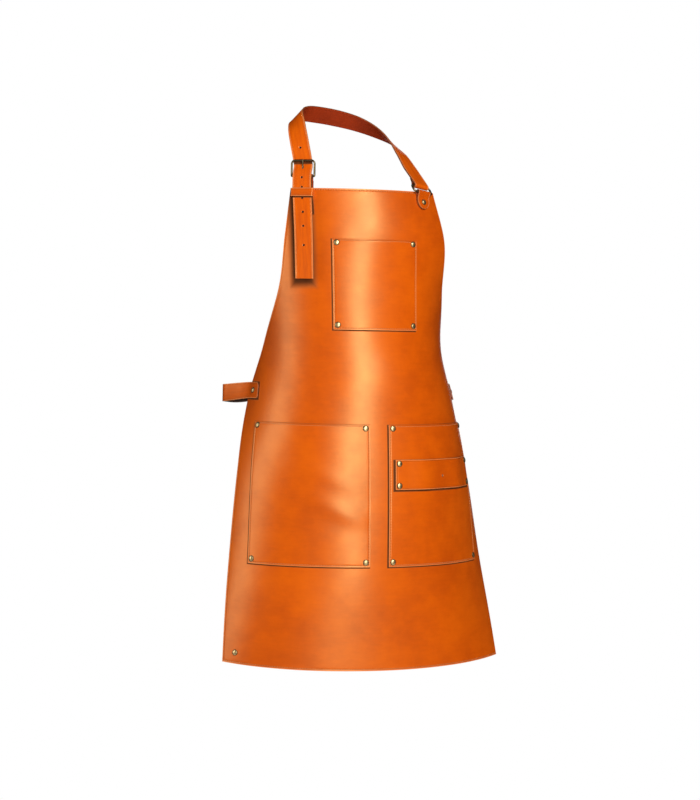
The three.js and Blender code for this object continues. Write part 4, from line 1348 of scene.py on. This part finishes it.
def prong_rod(radius):
    """The buckle's prong: an eye round the lower bar and a rod that rises over the top bar."""
    eye = BUCKLE["wire"] + CAD_GAP + PRONG["radius"]
    angles = np.radians(np.linspace(PRONG["eye_from"], PRONG["eye_to"], PRONG["eye_steps"]))
    bar, lift = BUCKLE["bar"], BUCKLE["lift"]
    route = [at_buckle(bar + eye * math.sin(a), lift + eye * math.cos(a)) for a in angles]
    route += [at_buckle(height, lift) for height, lift in PRONG_RISE]
    path, _ = centripetal(route, PRONG["step"])
    ends = np.minimum(np.arange(len(path)), np.arange(len(path))[::-1])
    radii = radius * np.sqrt(np.clip(1 - (1 - np.clip(ends / PRONG["tip"], 0, 1)) ** 2, TINY, 1))
    return tube(path, radii, BUCKLE_ACROSS, False, PRONG["sides"])


class APRON_OT_set_buckle(bpy.types.Operator):
    """Set the buckle in its strap, with the prong and the keeper"""

    bl_idname = "apron.set_buckle"
    bl_label = "Buckle"

    def execute(self, context):
        stations = chape_stations()
        piece = leather_band("buckle_strap", stations, CHAPE["width"], THICK["chape"], "chape", SHORT_STEP)
        bake_modifiers(piece)
        slot = bmesh.new()
        place = at_buckle(BUCKLE["bar"] + CHAPE_SLOT["length"] / 2 - CHAPE_SLOT["below"], BUCKLE["lift"])
        size = [CHAPE_SLOT[key] * MM for key in ("width", "depth", "length")]
        matrix = frame_matrix(BUCKLE_ACROSS * size[0], BUCKLE_OUT * size[1], UP * size[2], to_row(place))
        bmesh.ops.create_cube(slot, size=1, matrix=matrix)
        cut_away(piece, slot, finishes()["cut"])

        size = dict(BUCKLE, height=BUCKLE["top"] - BUCKLE["bar"])
        middle = at_buckle((BUCKLE["bar"] + BUCKLE["top"]) / 2, BUCKLE["lift"])
        path = rounded_frame(middle, BUCKLE_ACROSS, UP, size)
        wire = tube(path, BUCKLE["wire"], unit(np.cross(BUCKLE_ACROSS, UP)), True)
        keep_brass("buckle_frame", wire, "wire", ["buckle_frame"])
        keep_brass("buckle_prong", prong_rod(PRONG["radius"]), "wire", ["buckle_prong"])
        self.slip_on_keeper()
        return {"FINISHED"}

    def slip_on_keeper(self):
        """A flat sleeve of thin leather round the buckle strap and the tail."""
        along, _, out = directions(BUCKLE["u"], KEEPER["drop"])
        up = np.cross(along, out)
        half = CHAPE["width"] / 2 + KEEPER["side"] + THICK["keeper"] / 2
        low = CAD_GAP + THICK["keeper"] / 2
        inside = BUCKLE["lift"] + BUCKLE["wire"] + THICK["chape"] + THICK["strap"] + KEEPER["play"]
        high = inside + THICK["keeper"] / 2
        corner = KEEPER["corner"]
        size = {"width": 2 * half, "height": high - low, "corner": corner, "foot": corner, "wire": 0}
        ring = rounded_frame(wrap(BUCKLE["u"], KEEPER["drop"], (low + high) / 2), along, out, size)
        ring = np.concatenate((ring, ring[:1]))
        travel = travel_along(ring)
        last = len(ring) - 1

        def place(s, t):
            k = np.rint(s * last).astype(int)
            rise = (0.5 - t) * KEEPER["height"]
            edge = KEEPER["height"] / 2 - np.abs(rise)
            relief = groove(edge, **KEEPER_CREASE)
            inward = unit(ring[k] - ring.mean(0)) * relief[:, None]
            return ring[k] + up * rise[:, None] + inward, np.stack((travel[k], rise), -1), edge

        lines = graded(KEEPER["height"], KEEPER["pitch"], KEEPER_LINES)
        bm = close_seams(grid(np.linspace(0, 1, last + 1), lines, place))
        piece = keep("strap_keeper_leather", bm, leathers("strap"), ["strap_keeper"])
        give_thickness(piece, THICK["keeper"], 0, KEEPER["round"])


class APRON_OT_hang_ring(bpy.types.Operator):
    """Hang the strap's ring in its tab"""

    bl_idname = "apron.hang_ring"
    bl_label = "Ring and tab"

    def execute(self, context):
        path = rounded_frame((RING_LOWER + RING_UPPER) / 2, RING_ACROSS, RING_UP, RING)
        wire = tube(path, RING["wire"], RING_OUT, True)
        keep_brass("strap_ring", wire, "wire", ["strap_ring"])
        leather_band("ring_tab", tab_stations(), TAB["width"], THICK["tab"], "strap", SHORT_STEP)
        return {"FINISHED"}


class APRON_OT_fold_side_loops(bpy.types.Operator):
    """Fold the loops at the waist's two edges"""

    bl_idname = "apron.fold_side_loops"
    bl_label = "Side loops"

    def execute(self, context):
        for name, way in SIDES.items():
            stations = side_loop_stations(**way)
            # The loops' inner faces take the near-black hole finish: painted shade inside the loop
            leather_band(f"{name}_side_loop", stations, SIDE_LOOP["width"], THICK["loop"], "loop", LOOP_STEP,
                         back="hole", corner=SIDE_LOOP["end_corner"])
        return {"FINISHED"}


class APRON_OT_set_rivets(bpy.types.Operator):
    """Set the domed rivets, one piece for each group that holds the same leather"""

    bl_idname = "apron.set_rivets"
    bl_label = "Rivets"

    def execute(self, context):
        groups = {}
        for node, spot in rivet_spots().items():
            owner = node.partition("_rivet")[0]
            groups.setdefault(owner, {})[node] = spot
        for owner, spots in groups.items():
            bm = bmesh.new()
            edge_layer = bm.verts.layers.float.new("edge")
            for spot in spots.values():
                add_rivet(bm, edge_layer, *spot)
            keep_brass(f"{owner}_rivets", close_seams(bm), "brass", list(spots))
        return {"FINISHED"}


class APRON_OT_stitch(bpy.types.Operator):
    """Sew the seams along the panel's edges, the pockets and the middle of the tool strip"""

    bl_idname = "apron.stitch"
    bl_label = "Stitching"

    def execute(self, context):
        sewing = context.scene.apron_sewing
        inset = SEAM["inset"]
        thread = [finishes()["thread"]]
        widths = np.linspace(-1, 1, HEM_RUNS + 1)
        hem_half, top_half = (panel_at("half_width", drop) - inset for drop in (HEM_DROP, 0))
        hem = [(w * hem_half, HEM_DROP - inset - HEM_CORNER_RISE * w ** 2) for w in widths]
        top = [(-top_half, inset), (top_half, inset)]
        runs = run_of(hem, False) + run_of(top, False)
        bm = sew(runs, lambda u, drop: 0 * u, sewing)
        keep("panel_stitching", bm, thread)
        for name, pocket in POCKETS.items():
            upper, lower = np.split(np.array(corners_of(pocket, inset, inset, inset)), 2)
            face = partial(pocket_face, name)
            runs = run_of([*upper, *lower[::-1]], True)
            bm = sew(runs, lambda u, drop: face(u, drop) - STITCH["sink"], sewing)
            keep(f"{name}_stitching", bm, thread)
        middle = STRIP["left"] + STRIP["width"] / 2
        level = STRIP["top"] + STRIP["height"] / 2 + TACK["below"]
        spread = (np.arange(TACK["threads"]) - (TACK["threads"] - 1) / 2) * TACK["spread"]
        upper, lower = level - TACK["height"] / 2, level + TACK["height"] / 2
        runs = [((middle + aside, upper), (middle + aside, lower)) for aside in spread]
        bm = sew(runs, lambda u, drop: strip_face(u, drop) - TACK["sink"], sewing)
        keep("tool_strip_tack", bm, thread)
        self.cut_slit(middle, level)
        return {"FINISHED"}

    def cut_slit(self, u, drop):
        """A flat near-black bead between the threads of the tool strip's tack: the slit drawn as painted
        shade.
        """
        bm = bmesh.new()
        bm.loops.layers.uv.new("flat")
        along, _, out = directions(u, drop)
        place = to_row(skin(u, drop, strip_face(u, drop) - TACK["sink"]))
        wide, tall = SLIT["width"], TACK["height"] / 2 * MM
        matrix = frame_matrix(along * wide, out * wide * SLIT["flat"], np.cross(along, out) * tall, place)
        add_bead(bm, SLIT, matrix)
        keep("tool_strip_slit", bm, [finishes()["hole"]])


class APRON_OT_light_stage(bpy.types.Operator):
    """Set the camera, the soft lights and the pale floor"""

    bl_idname = "apron.light_stage"
    bl_label = "Stage"

    def execute(self, context):
        stage = context.scene.apron_stage
        self.aim_camera(context, stage)
        self.lay_floor(stage)
        for name, light in LIGHTS.items():
            self.hang_light(f"{name} light", getattr(stage, f"{name}_power"), **light)
        context.scene.world = bpy.data.worlds.new("studio")
        paint = Paint(context.scene.world)
        seen = paint.node("ShaderNodeLightPath", output="Is Camera Ray")
        strength = paint.node("ShaderNodeMapRange", {}, {"Value": seen, "To Min": stage.haze, "To Max": 1.0})
        backdrop = paint.node("ShaderNodeBackground", {}, {"Color": (1, 1, 1, 1), "Strength": strength})
        paint.node("ShaderNodeOutputWorld", {}, {"Surface": backdrop})
        context.scene.view_settings.view_transform = "Standard"
        return {"FINISHED"}

    def aim_camera(self, context, stage):
        turn, yaw = stage.camera_turn, stage.camera_turn + stage.camera_pan
        reach = stage.camera_reach
        place = np.array((-math.sin(turn) * reach, -math.cos(turn) * reach, stage.camera_height))
        ahead = np.array((math.sin(yaw), math.cos(yaw), 0))
        right = np.array((math.cos(yaw), -math.sin(yaw), 0))
        tilt, roll = stage.camera_pitch, stage.camera_roll
        forward = ahead * math.cos(tilt) - UP * math.sin(tilt)
        above = UP * math.cos(tilt) + ahead * math.sin(tilt)
        side = right * math.cos(roll) + above * math.sin(roll)
        top = above * math.cos(roll) - right * math.sin(roll)
        data = bpy.data.cameras.new("camera")
        data.sensor_fit = "VERTICAL"
        data.sensor_height = PICTURE_HEIGHT
        data.lens = stage.lens
        data.clip_end = CAMERA_SIGHT
        camera = put("camera", data)
        camera.matrix_world = frame_matrix(side, top, -forward, place - NECK_REST * MM)
        context.scene.camera = camera

    def lay_floor(self, stage):
        bm = bmesh.new()
        bmesh.ops.create_circle(bm, cap_ends=True, segments=FLOOR["sides"], radius=stage.floor_reach)
        bmesh.ops.translate(bm, verts=bm.verts[:], vec=(0, FLOOR["forward"], stage.floor_height))
        floor = put_mesh("floor", bm, [pale_floor("pale floor", stage.floor_shade)])

    def hang_light(self, name, power, turn, rise, reach, width, height, lean):
        """A soft panel of light, turned to the apron's middle."""
        turn, rise = math.radians(turn), math.radians(rise)
        way = Vector((math.sin(turn) * math.cos(rise), -math.cos(turn) * math.cos(rise), math.sin(rise)))
        data = bpy.data.lights.new(name, "AREA")
        data.shape = "RECTANGLE"
        data.size = width
        data.size_y = height
        data.energy = power
        light = put(name, data)
        light.location = APRON_MIDDLE + way * reach
        light.visible_camera = False
        lean = Quaternion((0, 0, 1), -math.radians(lean))
        light.rotation_euler = (way.to_track_quat("Z", "Y") @ lean).to_euler()


STEPS = (
    APRON_OT_cut_panel, APRON_OT_sew_pockets, APRON_OT_lay_tool_strip, APRON_OT_hang_neck_strap,
    APRON_OT_set_buckle, APRON_OT_hang_ring, APRON_OT_fold_side_loops, APRON_OT_set_rivets, APRON_OT_stitch,
    APRON_OT_light_stage,
)


class APRON_PT_sidebar(bpy.types.Panel):
    """The apron's pieces in the order of making"""

    bl_idname = "APRON_PT_sidebar"
    bl_label = "Leather apron"
    bl_space_type = "VIEW_3D"
    bl_region_type = "UI"
    bl_category = "Apron"

    def draw(self, context):
        for step in STEPS:
            self.layout.operator(step.bl_idname)
        for name in SETTINGS:
            box = self.layout.box()
            group = getattr(context.scene, name)
            for key in type(group).__annotations__:
                box.prop(group, key)


SETTINGS = {
    "apron_leather": ApronLeather,
    "apron_brass": ApronBrass,
    "apron_sewing": ApronSewing,
    "apron_stage": ApronStage,
}


def register():
    for kind in (*SETTINGS.values(), *STEPS, APRON_PT_sidebar):
        bpy.utils.register_class(kind)
    for name, kind in SETTINGS.items():
        setattr(bpy.types.Scene, name, PointerProperty(type=kind))


def unregister():
    for name in SETTINGS:
        delattr(bpy.types.Scene, name)
    for kind in reversed((*SETTINGS.values(), *STEPS, APRON_PT_sidebar)):
        bpy.utils.unregister_class(kind)


def main():
    register()
    for step in STEPS:
        group, name = step.bl_idname.split(".")
        getattr(getattr(bpy.ops, group), name)()


if __name__ == "__main__":
    main()
